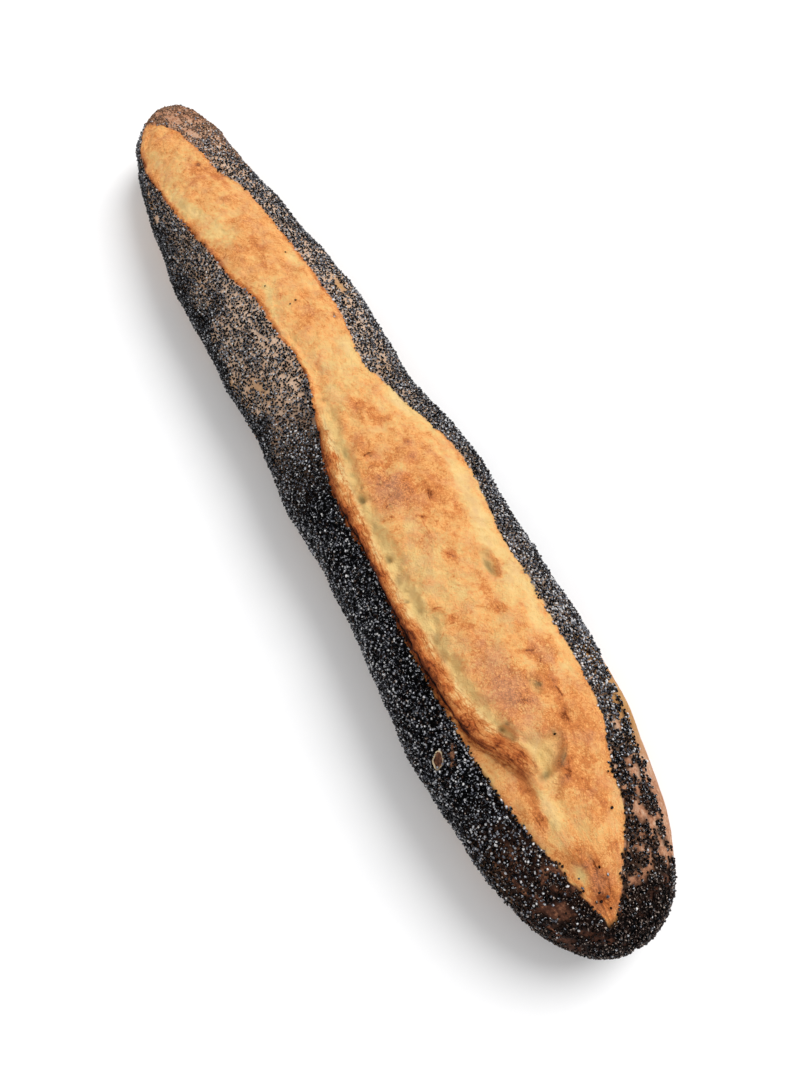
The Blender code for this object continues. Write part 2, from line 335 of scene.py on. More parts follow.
@dataclass(frozen=True)
class Burst:
    """The long burst cut on top: its edges, raised lip, trough, dome and bubbles."""

    left: Knots = Knots((
        (20, -13), (30, -18), (45, -23.5), (60, -25.5), (85, -25), (120, -22), (140, -19), (160, -16.5),
        (180, -11.5), (200, -11), (220, -9), (235, -10), (250, -14.5), (270, -20), (290, -23),
        (320, -22.5), (345, -24.5), (370, -25), (400, -23.5), (425, -20), (445, -14.5), (460, -9.8)))
    right: Knots = Knots((
        (20, -12), (30, -8.5), (45, -1), (60, 1.5), (75, 4), (87, 6), (100, 12), (120, 15), (145, 18),
        (170, 19.5), (205, 20), (235, 17), (250, 21.5), (270, 27.5), (293, 33), (310, 31), (330, 28),
        (360, 27.3), (390, 25), (407, 22.4), (420, 15.4), (432, 12), (445, 3), (455, -3.4), (461, -8.2)))
    lip_line: Knots = Knots((
        (20, -11.5), (60, -23.5), (120, -20.5), (160, -15), (200, -9), (225, -7.5), (250, -12),
        (270, -15.5), (290, -18), (312, -19), (335, -20), (355, -19.5), (380, -18.3), (393, -15.5),
        (401, -11.5), (409, -9), (425, -10), (460, -8.8)))
    lip_height: Knots = Knots((
        (60, 0.4), (225, 0.6), (270, 1.7), (330, 2.2), (385, 3), (404, 2.7), (414, 1.2), (430, 0.3)))
    lip_side: Knots = Knots((
        (60, 1.2), (225, 1.6), (250, 2.4), (275, 3.7), (295, 3.3), (310, 2.7), (335, 2.6), (355, 3.2),
        (385, 4), (396, 4.4), (404, 4.2), (412, 3.2), (424, 2.4), (440, 1.5)))
    overhang: Knots = Knots((
        (225, 0), (290, 0.6), (320, 0.5), (370, 1.3), (395, 1.8), (408, 1.2), (422, 0)))
    trough: Knots = Knots((
        (60, 0.2), (225, 0.6), (265, 1.3), (330, 1.6), (390, 1.7), (415, 1.2), (435, 0.3)))
    dome: Knots = Knots((
        (20, 0.2), (80, 1), (160, 1.3), (225, 0.7), (290, 1.6), (370, 1.5), (425, 1.2), (455, 0.3)))
    dome_power: float = 0.8
    lip_fall: float = 3.4
    lip_sharpness: float = 1.6
    lip_lean: float = 0.3
    trough_start: float = 0.5
    trough_rise: float = 5.0
    edge_width: float = 2.5
    full_width: float = 30.0
    least_squeeze: float = 0.05
    hollow_floor: float = 0.5
    pit_depth: float = 0.8
    pit_floor: float = 0.1
    pit_wander: float = 0.6
    crag_bend: float = 0.35
    ends: Span = (8, 26, 452, 464)
    hollows: tuple[Patch, ...] = patches(
        (338.5, 15.5, 8, 3.4, 2.1, 0), (386, 6, 4.8, 2.6, 1.1, 0), (407.5, -1.3, 10, 4.8, 2.7, -48),
        (396, -10.8, 5, 2.8, 1.8, 25), (443, -11, 4.2, 2.4, 0.9, 10), (292, -13.8, 4, 1.9, 0.8, -10),
        (271, -10.5, 3.6, 1.8, 0.7, 0), (319.5, -16.2, 3, 1.7, 0.9, 0), (350, -12, 4.6, 3.8, 0.8, 0))
    pits: tuple[Patch, ...] = patches(
        (243.4, -7.7, 2.2, 1.7, 0.5, 30), (271, -11, 3.4, 1.5, 0.5, -20), (281, -12.6, 1.8, 1.3, 0.4, 40),
        (292.3, -14, 2.8, 2.2, 1, 25), (288.6, -11.6, 1.3, 1, 0.6), (305, -14.6, 2.4, 1.9, 0.4, -30),
        (319.7, -16.2, 2.2, 1.7, 0.9, 20), (329, -16.9, 3.4, 1.5, 0.6, -14),
        (337.5, -18, 1.8, 1.3, 1.1, 30), (343.5, -15.2, 2, 1.5, 0.4, 50),
        (356, -15.2, 3.6, 1.6, 0.4, -10), (393, -8.6, 1.3, 1, 0.9), (386.2, 7.4, 1.9, 1.3, 0.9, 40),
        (393.6, -11.2, 1.8, 1.2, 1, 60), (398.4, -9.9, 1.8, 1.1, 0.8, 20), (402.5, 3.8, 1.4, 1, 0.8),
        (413, -6, 3, 1.9, 1.1, -70), (410.5, 2.4, 5, 1.5, 0.7, -45), (277, -2.7, 2, 0.8, 0.4, 30),
        (301.6, -5.6, 2.8, 0.7, 0.4, -20), (349, -11.6, 2.6, 0.7, 0.4, 20), (203.5, 15.9, 1.8, 1, 0.6),
        (79.7, -1.9, 1.4, 0.9, 0.4), (225.4, -2.3, 1.5, 1, 0.4), (339.5, 16, 5.5, 2, 1, 8),
        (439, -7, 3, 1, 0.4, 40))
    marks: tuple[Mark, ...] = crease_marks(
        (277.2, -3.2, 2.8, 0.9, 90, 1), (301.9, -6, 2.4, 1, 90, 1),
        (282.5, -5.3, 1.1, 0.2, 115, 0.9), (271.4, -3, 1.2, 0.1, 60, 0.8),
        (288.2, -3.8, 1.4, 0.3, 20, 0.9), (291, -5.6, 1.6, 0.2, 40, 0.8),
        (293.3, -2.2, 0.9, 0.1, 80, 0.8), (296.6, -6.8, 1.1, 0.1, 70, 0.8),
        (295.7, -10, 1.2, 0.1, 75, 0.6), (306.3, -7.6, 1.5, 0.2, 60, 0.8),
        (311.6, 2.8, 1.3, 0.2, 60, 0.8), (316.5, 1.8, 5.2, -0.3, -2, 0.6),
        (304.5, 9.2, 3.4, -0.4, -15, 0.5), (347.2, -10, 2.6, 1.1, 72, 0.9),
        (348.3, -13.5, 4.6, 1.9, 97, 0.5), (353.8, -7.8, 1.4, 0.1, 80, 0.9),
        (356, -13.3, 2, 0.3, -60, 0.8), (361.5, -0.3, 1.9, 0.2, 55, 0.5),
        (375, 10.6, 2.5, 0.2, 70, 0.8), (379, 12.4, 1.6, 0.2, -35, 0.8), (386.2, 6.2, 2.6, 1.5, 15, 1),
        (392, 12, 3, 0.5, -5, 0.5), (400.5, 9.8, 3, 0.2, -12, 0.5),
        (406.5, 8.6, 3.4, 0.2, -15, 0.4), (408, 2.6, 6.2, 2, -42, 0.5), (412, -6, 2.8, 1, 80, 0.6),
        (393.3, -9, 1.4, 0.2, 35, 1), (384.6, -14.8, 0.8, 0.1, 80, 1),
        (389.5, 0.4, 2.2, 0.2, 40, 0.6), (382.4, 4.7, 0.9, 0.1, -30, 0.8),
        (74.6, -9.3, 1.5, 0.4, 110, 0.6), (81.3, -9.8, 1.7, 0.4, 110, 0.6),
        (61.5, -17.2, 1.8, 0.4, -20, 0.6), (90.3, -19.6, 1.5, 0.3, 20, 0.5),
        (106.4, -20.2, 1.2, 0.1, 20, 0.6), (114.6, -15.8, 1.2, 0.1, 60, 0.6),
        (92.6, -10, 1.8, 0.3, -50, 0.5), (132.6, 2.3, 1.6, 0.5, 60, 0.9), (126.3, 2.2, 1.3, 0.2, 10, 0.6),
        (145, 2.8, 2, 0.3, 45, 0.6), (160, 0.7, 7, 0.6, -12, 0.4), (147, -13.5, 2.4, 0.3, -50, 0.7),
        (191, 6.6, 5, 1.3, 15, 0.5), (203.3, 15.4, 1.6, 0.1, -25, 0.9), (184, -1.2, 2.2, 0.2, -10, 0.4),
        (443, -6.8, 3.6, 0.6, -5, 0.9), (441.5, -10.4, 3.2, 0.8, 60, 0.8), (449, -8, 1.9, 0.2, -15, 0.9),
        (425, -15.2, 3.8, 0.2, 5, 0.7), (455, -10.6, 2.6, 0.2, 30, 0.7), (451, -13.6, 2.2, 0.2, 10, 0.8))
    crag_waves: tuple[tuple[float, float, float, float], ...] = (  # along, across, phase, height
        (27, 19, 1.0, 0.35), (15, 12, 3.7, 0.3), (10, 14, 5.2, 0.2))

    def squeeze(self, station: Array) -> Array:
        """How much the burst's steps are squeezed where it is narrow."""
        width = self.right.at(station) - self.left.at(station)
        return np.clip(width / self.full_width, self.least_squeeze, 1.0)

    def is_left(self, station: Array, side: Array) -> Array:
        """Whether places are on the -Y side of the burst's middle."""
        return side < (self.left.at(station) + self.right.at(station)) / 2

    def share(self, station: Array, side: Array) -> Array:
        """Place across the burst, from 0 at its left edge to 1 at its right edge."""
        left, right = self.left.at(station), self.right.at(station)
        return np.clip((side - left) / np.maximum(right - left, 0.1), 0.0, 1.0)

    def inside(self, station: Array, side: Array, width: float) -> Array:
        """1 inside the burst and 0 outside, changing over a width inside its edges."""
        width, left, right = width * self.squeeze(station), self.left.at(station), self.right.at(station)
        return ramp(side, left, left + width) * fall(side, right - width, right)

    def from_lip(self, station: Array, side: Array) -> Array:
        """Distance to the right of the lip's crest, squeezed where the burst is narrow."""
        return (side - self.lip_line.at(station)) / self.squeeze(station)

    def crags(self, station: Array, side: Array) -> Array:
        """Rough height of the torn crumb.

        Args:
            station: places along the loaf.
            side: places across it.

        Returns:
            Heights in millimetres.
        """
        total = 0.0
        for along, across, phase, height in self.crag_waves:
            bend = self.crag_bend * np.sin(2 * math.pi * station / (3 * along) + phase)
            wave = np.sin(2 * math.pi * (station / along + bend) + phase)
            total = total + height * wave * np.sin(2 * math.pi * (side / across - bend) + 2 * phase)
        return total

    def relief(self, station: Array, side: Array, tatter: Array, wander: Array) -> tuple[Array, Array]:
        """Form of the upper side over the plain loaf.

        Args:
            station: places along the loaf.
            side: places across it.
            tatter: share by which the torn lip is higher or lower than it would be whole.
            wander: distance by which the trough is pushed aside.

        Returns:
            The height over the plain loaf, and the shift sideways.
        """
        dome = self.dome.at(station) * np.sin(math.pi * self.share(station, side)) ** self.dome_power
        beyond = self.from_lip(station, side)
        outer = beyond / self.lip_side.at(station)
        lip = self.lip_height.at(station) * roll(outer) * (1 + tatter)
        lip = lip * (1 - np.clip(beyond / self.lip_fall, 0.0, 1.0)) ** self.lip_sharpness
        aside = beyond + wander
        low = np.where(aside < self.lip_fall, ramp(aside, self.trough_start, self.lip_fall),
                       1 - ramp(aside, self.lip_fall, self.lip_fall + self.trough_rise))
        height = dome - self.trough.at(station) * low + self.crags(station, side)
        height = height * self.inside(station, side, self.edge_width) + lip
        for hollow in self.hollows:
            height = height - hollow.bowl(station, side, self.hollow_floor)
        for pit in self.pits:
            place = side + self.pit_wander * wander
            height = height - self.pit_depth * pit.bowl(station, place, self.pit_floor)
        lean = np.where(outer < 0, hump(outer + self.lip_lean),
                        fall(beyond, 0, self.lip_fall) * hump(self.lip_lean))
        shift = -self.overhang.at(station) * lean
        ends = within(station, self.ends)
        return height * ends, shift * ends


@dataclass(frozen=True)
class Loaf:
    """The whole loaf's form, with its rounded ends and its flat base."""

    length: float = 470.0
    height: float = 45.3
    tapered_end: float = 30.0
    blunt_end: float = 40.0
    end_power: float = 2.2
    shoulder_power: float = 2.15
    belly_power: float = 2.7
    waist: float = 0.44
    sink: float = 2.5
    top_rounding: float = 0.9
    under_rounding: float = 0.8
    side_limit: float = 0.93
    box_middle: float = 2.4
    half_width: Knots = Knots((
        (0, 17), (20, 21.5), (45, 26), (75, 29.5), (110, 33.5), (150, 36.5), (195, 37.5), (235, 36),
        (275, 40), (315, 38.5), (355, 39.5), (395, 39), (420, 35.5), (445, 30.5), (470, 28)))
    bend: Knots = Knots((
        (0, 4), (25, 0), (60, -2), (120, -2), (180, 1), (240, 1), (300, 3.5), (350, 2), (400, 0.5),
        (440, -1), (470, -2)))
    top_share: Knots = Knots((
        (0, 0.74), (60, 0.92), (160, 1), (320, 1), (430, 0.95), (470, 0.84)))
    lump_waves: tuple[tuple[float, float, float, float], ...] = (  # along, around, phase, height
        (61, 95, 0.4, 0.45), (37, 63, 2.1, 0.3), (23, 41, 4.4, 0.2))
    lumps_fade: float = 14.0
    lumps_foot: Pair = (-0.6, -0.2)  # sines of the angles over which the lumps set in
    burst: Burst = Burst()

    def end_rounding(self, station: Array) -> Array:
        """Share of the full section that is left at a station of the rounded ends.

        Args:
            station: places along the loaf.

        Returns:
            1 between the rounded ends, falling to 0 at the tips.
        """
        share = 1.0
        for away, reach in ((station, self.tapered_end), (self.length - station, self.blunt_end)):
            near = np.clip(away / reach, 0.0, 1.0)
            share = share * (1 - (1 - near) ** self.end_power) ** (1 / self.end_power)
        return share

    def between_ends(self, station: Array, fade: float) -> Array:
        """1 along the loaf, fading to 0 at both tips."""
        return ramp(station, 0, fade) * ramp(self.length - station, 0, fade)

    def plain(self, station: Array, angle: Array) -> Array:
        """Points of the loaf without its relief.

        Args:
            station: places along the loaf.
            angle: places round it, in radians.

        Returns:
            Points in millimetres, x along the loaf from its middle.
        """
        share = self.end_rounding(station)
        top = self.height * self.top_share.at(station)
        waist = self.waist * top
        over = (top - waist) * share**self.top_rounding
        under = (waist + self.sink) * share**self.under_rounding
        across, up = np.cos(angle), np.sin(angle)
        power = np.where(up >= 0, 2 / self.shoulder_power, 2 / self.belly_power)
        half = self.half_width.at(station) * share
        y = self.bend.at(station) + half * np.sign(across) * np.abs(across) ** power
        z = waist + np.where(up >= 0, over, -under) * np.abs(up) ** power
        x = station - self.length / 2
        return np.stack(np.broadcast_arrays(x, y, np.maximum(z, 0.0)), axis=-1)

    def outward(self, station: Array, angle: Array) -> Array:
        """Directions that point straight out of the plain loaf.

        Args:
            station: places along the loaf.
            angle: places round it, in radians.

        Returns:
            Directions of length 1.
        """
        small = 0.01
        along = self.plain(station + small, angle) - self.plain(station - small, angle)
        around = self.plain(station, angle + small) - self.plain(station, angle - small)
        return unit(np.cross(around, along))

    def lumps(self, station: Array, angle: Array) -> Array:
        """Slow uneven swelling of the whole crust, none on the flat base.

        Args:
            station: places along the loaf.
            angle: places round it, in radians.

        Returns:
            Heights in millimetres.
        """
        total = 0.0
        for along, around, phase, height in self.lump_waves:
            wave = np.sin(2 * math.pi * station / along + phase)
            total = total + height * wave * np.cos(np.degrees(angle) * 2 * math.pi / around + 2 * phase)
        total = total * self.between_ends(station, self.lumps_fade)
        return total * ramp(np.sin(angle), *self.lumps_foot)

    def angle_of(self, station: Array, side: Array) -> Array:
        """Angle at which the plain loaf's upper side passes a sideways place.

        Args:
            station: places along the loaf.
            side: places across it.

        Returns:
            Angles in radians.
        """
        half = self.half_width.at(station) * self.end_rounding(station)
        share = np.clip((side - self.bend.at(station)) / half, -self.side_limit, self.side_limit)
        return np.arccos(np.sign(share) * np.abs(share) ** (self.shoulder_power / 2))

    def placed(self, points: Array) -> Array:
        """Points in the part's own frame, in metres."""
        return (points - np.array([0.0, self.box_middle, 0.0])) * MM


@dataclass(frozen=True)
class FineRelief:
    """What baking leaves on the surface below the size of the solid's facets."""

    puffs: Noise = Noise(7.5, 3, 3, 0.5)
    warp: Noise = Noise(9.0, 11, 2)
    sheets: Noise = Noise(8.0, 19, 4, 0.55)
    grit: Noise = Noise(1.7, 23, 2, 0.7)
    wrinkles: Noise = Noise(2.6, 37, 2, 0.6)
    strands: Noise = Noise(1.9, 43, 3, 0.65)
    tatters: Noise = Noise(6.0, 47, 3, 0.6)
    wandering: Noise = Noise(9.0, 71, 2)
    shell: Noise = Noise(5.0, 41, 3, 0.55)
    raggedness: Noise = Noise(5.0, 53, 3, 0.65)
    pores: Pores = Pores(4.6, (0.5, 1.4), 0.30, 59)
    crumb_warp: float = 4.0
    puff_height: float = 0.38
    puff_level: float = 0.55
    puff_steepness: float = 2.2
    puff_power: float = 1.3
    sheet_warp: float = 5.0
    sheet_levels: float = 6.0
    sheet_height: float = 0.18
    sheet_edge: float = 0.22
    grit_height: float = 0.20
    wrinkle_height: float = 0.34
    wrinkle_level: float = 0.3
    wrinkle_squeeze: Triple = (0.5, 1.0, 1.0)
    strand_height: float = 0.85
    strand_squeeze: float = 0.25
    pore_depth: float = 0.5
    shell_height: float = 0.24
    lip_raggedness: float = 1.4
    lip_tatter: float = 0.65
    trough_wander: float = 3.0

    def warped(self, points: Array, strength: float) -> Array:
        """Points pushed about by slow noise, so that creases wander."""
        push = np.stack([self.warp.at(points + 40 * k) for k in range(3)], axis=-1)
        return points + strength * push

    def flakes(self, points: Array) -> tuple[Array, Array]:
        """Thin torn sheets that lie over each other like low steps.

        Args:
            points: places in millimetres.

        Returns:
            The height of the steps, and a mask of their edges.
        """
        level = self.sheet_levels * self.sheets.at(self.warped(points, self.sheet_warp))
        step = level - np.floor(level)
        height = np.floor(level) + ramp(step, 1 - self.sheet_edge, 1.0)
        edge = hump((step - 1 + self.sheet_edge / 2) / (0.8 * self.sheet_edge))
        return self.sheet_height * height, edge

    def crumb(self, points: Array) -> Array:
        """Height of the torn crumb: puffy, with creases between the puffs, flakes and pores.

        Args:
            points: places in millimetres.

        Returns:
            Heights in millimetres.
        """
        bent = self.warped(points, self.crumb_warp)
        puffs = self.puff_level - self.puff_steepness * np.abs(self.puffs.at(bent)) ** self.puff_power
        creases = np.abs(self.wrinkles.at(bent * np.array(self.wrinkle_squeeze)))
        height = self.puff_height * puffs - self.wrinkle_height * (creases - self.wrinkle_level)
        height = height + self.flakes(points)[0] + self.grit_height * self.grit.at(points)
        return height - self.pore_depth * self.pores.at(points)

    def lip_strands(self, station: Array, beyond: Array) -> Array:
        """Torn strands that run along the lip, between -1 and 1."""
        along = np.stack([self.strand_squeeze * station, beyond, 0 * beyond], axis=-1)
        return self.strands.at(along)

    def skin(self, points: Array) -> Array:
        """Height of the shell under the seeds."""
        return self.shell_height * self.shell.at(points)


@dataclass
class CrustSurface:
    """The finished crust: the loaf's form with its fine relief, anywhere on it."""

    loaf: Loaf = Loaf()
    fine: FineRelief = FineRelief()
    top: Pair = (0.05, 0.3)  # sines of the angles over which the top's relief sets in
    foot: Pair = (-0.85, -0.5)  # and over which the shell's relief does
    end_fade: float = 14.0
    edge_width: float = 2.0
    face_crest: Pair = (-1.5, -1.2)
    face_foot: Pair = (1.2, 3.6)
    face_ends: Span = (236, 262, 409, 419)
    face_calm: float = 0.7  # share of the crumb's relief that the lip's face lacks

    def lip_face(self, station: Array, side: Array) -> Array:
        """1 on the lip's scorched outer side, fading past its crest and its foot.

        Args:
            station: places along the loaf.
            side: places across it.

        Returns:
            A number from 0 to 1 for each place.
        """
        burst = self.loaf.burst
        beyond = burst.from_lip(station, side)
        outer = beyond / burst.lip_side.at(station)
        face = ramp(outer, *self.face_crest) * (1 - ramp(beyond, *self.face_foot))
        return face * within(station, self.face_ends)

    def points(self, station: Array, angle: Array) -> Array:
        """Points of the finished crust.

        Args:
            station: places along the loaf.
            angle: places round it, in radians.

        Returns:
            Points in millimetres.
        """
        station, angle = np.broadcast_arrays(station, angle)
        points = self.loaf.plain(station, angle)
        side = points[..., 1]
        burst, fine = self.loaf.burst, self.fine
        line = np.stack([station, 0 * station, 0 * station], axis=-1)
        ragged = fine.lip_raggedness * fine.raggedness.at(line)
        tatter = fine.lip_tatter * fine.tatters.at(line)
        wander = fine.trough_wander * fine.wandering.at(points)
        height, shift = burst.relief(station, side + ragged, tatter, wander)
        upper = ramp(np.sin(angle), *self.top)
        inside = burst.inside(station, side, self.edge_width) * upper
        ends = self.loaf.between_ends(station, self.end_fade)
        lower = ramp(np.sin(angle), *self.foot)
        face = self.lip_face(station, side) * upper
        strands = fine.strand_height * fine.lip_strands(station, burst.from_lip(station, side))
        torn = fine.crumb(points) * (1 - self.face_calm * face) + strands * face
        detail = inside * torn + (1 - inside) * fine.skin(points) * lower
        out = height * upper + self.loaf.lumps(station, angle) + detail * ends
        points = points + self.loaf.outward(station, angle) * out[..., None]
        points[..., 1] += shift * upper
        points[..., 2] = np.maximum(points[..., 2], 0.0)
        return points


# ---------------- meshes

def mesh_object(name: str, points: Array, faces: Array, smooth: bool = True) -> Piece:
    """Make a mesh object from arrays.

    Args:
        name: the piece's name.
        points: vertices in metres, three numbers each.
        faces: vertex numbers, three or four to a face; a last number of -1 marks a triangle.
        smooth: whether faces are shaded smooth.

    Returns:
        The object, linked to the scene.
    """
    used = faces >= 0
    counts = used.sum(axis=1)
    starts = np.concatenate([[0], np.cumsum(counts)[:-1]])
    mesh = bpy.data.meshes.new(name)
    mesh.vertices.add(len(points))
    mesh.vertices.foreach_set("co", np.ascontiguousarray(points, dtype=np.float32).ravel())
    mesh.loops.add(int(counts.sum()))
    mesh.loops.foreach_set("vertex_index", faces[used].astype(np.int32))
    mesh.polygons.add(len(faces))
    mesh.polygons.foreach_set("loop_start", starts.astype(np.int32))
    mesh.polygons.foreach_set("use_smooth", np.full(len(faces), smooth))
    mesh.update(calc_edges=True)
    piece = bpy.data.objects.new(name, mesh)
    bpy.context.scene.collection.objects.link(piece)
    return piece


def paint(piece: Piece, name: str, values: Array) -> None:
    """Store one number for each vertex, for the materials to read."""
    layer = piece.data.attributes.new(name, "FLOAT", "POINT")
    layer.data.foreach_set("value", np.ascontiguousarray(values, dtype=np.float32).ravel())


@dataclass
class CrustPiece:
    """The whole crust as one closed mesh, with the baking of every place on it."""

    surface: CrustSurface
    name: str = "crust"
    tapered_rings: int = 20
    blunt_rings: int = 30
    slim_rings: int = 265
    wide_rings: int = 385
    halfway: float = 235.0
    first_ring: float = 15.0
    last_ring: float = 462.0
    shell_columns: int = 14
    burst_columns: tuple[int, ...] = (2, 7, 11, 8, 9, 55, 5)
    base_columns: int = 13
    outside: float = 1.2  # how far the burst's columns reach over its edges
    least_half: float = 5.0  # half the width that they keep where the burst ends
    least_edge: float = 0.3

    def from_tip(self, reach: float, rings: int) -> Array:
        """Distances of the rings of a rounded end from its tip."""
        turn = np.radians(np.linspace(0, 90, rings + 1)[1:])
        return reach * (1 - np.cos(turn) ** (2 / self.surface.loaf.end_power))

    def stations(self) -> Array:
        """Stations of the rings of points, closest where an end rounds off.

        Returns:
            The stations, from the tapered end to the blunt one.
        """
        loaf = self.surface.loaf
        tapered = self.from_tip(loaf.tapered_end, self.tapered_rings)
        blunt = loaf.length - self.from_tip(loaf.blunt_end, self.blunt_rings)
        slim = np.linspace(loaf.tapered_end, self.halfway, self.slim_rings + 1)[1:-1]
        wide = np.linspace(self.halfway, loaf.length - loaf.blunt_end, self.wide_rings + 1)[:-1]
        return np.concatenate([tapered, slim, wide, blunt[::-1]])

    def angles(self, stations: Array) -> Array:
        """Angles of each ring's points, which follow the burst's edges, lip and trough.

        Args:
            stations: the rings' stations.

        Returns:
            One row of angles for each ring.
        """
        burst = self.surface.loaf.burst
        held = np.clip(stations, self.first_ring, self.last_ring)
        left, right = burst.left.at(held), burst.right.at(held)
        middle = (left + right) / 2
        left = np.minimum(left, middle - self.least_half)
        right = np.maximum(right, middle + self.least_half)
        squeeze = np.minimum((right - left) / burst.full_width, 1.0)
        side = burst.lip_side.at(held) * squeeze
        crest = np.maximum(burst.lip_line.at(held), left + side + self.least_edge)
        trough = crest + burst.lip_fall * squeeze
        breaks = [left - self.outside, left, crest - side, crest, trough,
                  trough + burst.trough_rise * squeeze, right, right + burst.edge_width]
        across = [breaks[0][:, None]]
        for low, high, count in zip(breaks[:-1], breaks[1:], self.burst_columns):
            steps = np.linspace(0, 1, count + 1)[1:]
            across.append(low[:, None] + (high - low)[:, None] * steps)
        burst_angles = self.surface.loaf.angle_of(held[:, None], np.concatenate(across, axis=1))
        steps = np.linspace(0, 1, self.shell_columns + 1)[None, :]
        minus = math.pi + (burst_angles[:, :1] - math.pi) * steps[:, :-1]
        plus = burst_angles[:, -1:] * (1 - steps[:, 1:])
        base = -math.pi * np.linspace(0, 1, self.base_columns + 2)[1:-1]
        base = np.broadcast_to(base, (len(held), self.base_columns))
        return np.concatenate([minus, burst_angles, plus, base], axis=1)

    def faces(self, rings: int, columns: int) -> Array:
        """Faces of the closed skin.

        Args:
            rings: number of rings of points.
            columns: number of points in a ring.

        Returns:
            Vertex numbers, four to a face; the last of a triangle is -1. The two tips follow
            the rings' own points.
        """
        first = np.arange(rings - 1)[:, None] * columns
        here, following = np.arange(columns), (np.arange(columns) + 1) % columns
        quads = np.stack([first + here, first + columns + here, first + columns + following,
                          first + following], axis=-1).reshape(-1, 4)
        tip, last = rings * columns, (rings - 1) * columns
        none = np.full(columns, -1)
        start = np.stack([here, following, np.full(columns, tip), none], axis=-1)
        end = np.stack([last + following, last + here, np.full(columns, tip + 1), none], axis=-1)
        return np.concatenate([quads, start, end])

    def build(self, coat: "SeedCoat") -> Piece:
        """Skin the rings into one closed mesh and paint the baking on it.

        Args:
            coat: the coat of seeds, which darkens the crust between its grains, partly as painted shade.

        Returns:
            The crust.
        """
        stations = self.stations()
        angles = self.angles(stations)
        rings, columns = angles.shape
        places = np.repeat(stations[:, None], columns, axis=1)
        points = self.surface.points(places, angles).reshape(-1, 3)
        loaf = self.surface.loaf
        tips = loaf.plain(np.array([0.0, loaf.length]), np.array([0.0, 0.0]))
        piece = mesh_object(self.name, loaf.placed(np.concatenate([points, tips])),
                            self.faces(rings, columns))
        masks = Baking(self.surface).masks(places, angles)
        plain = loaf.plain(places, angles)
        # painted shade: the crust between thick seeds is darkened, for shade between the grains and for
        # lower seeds
        masks["gap_shade_and_undercoat"] = coat.darkness(places, angles, plain)
        for name, values in masks.items():
            flat = values.reshape(-1)
            paint(piece, name, np.concatenate([flat, flat[[0, -1]]]))
        return piece


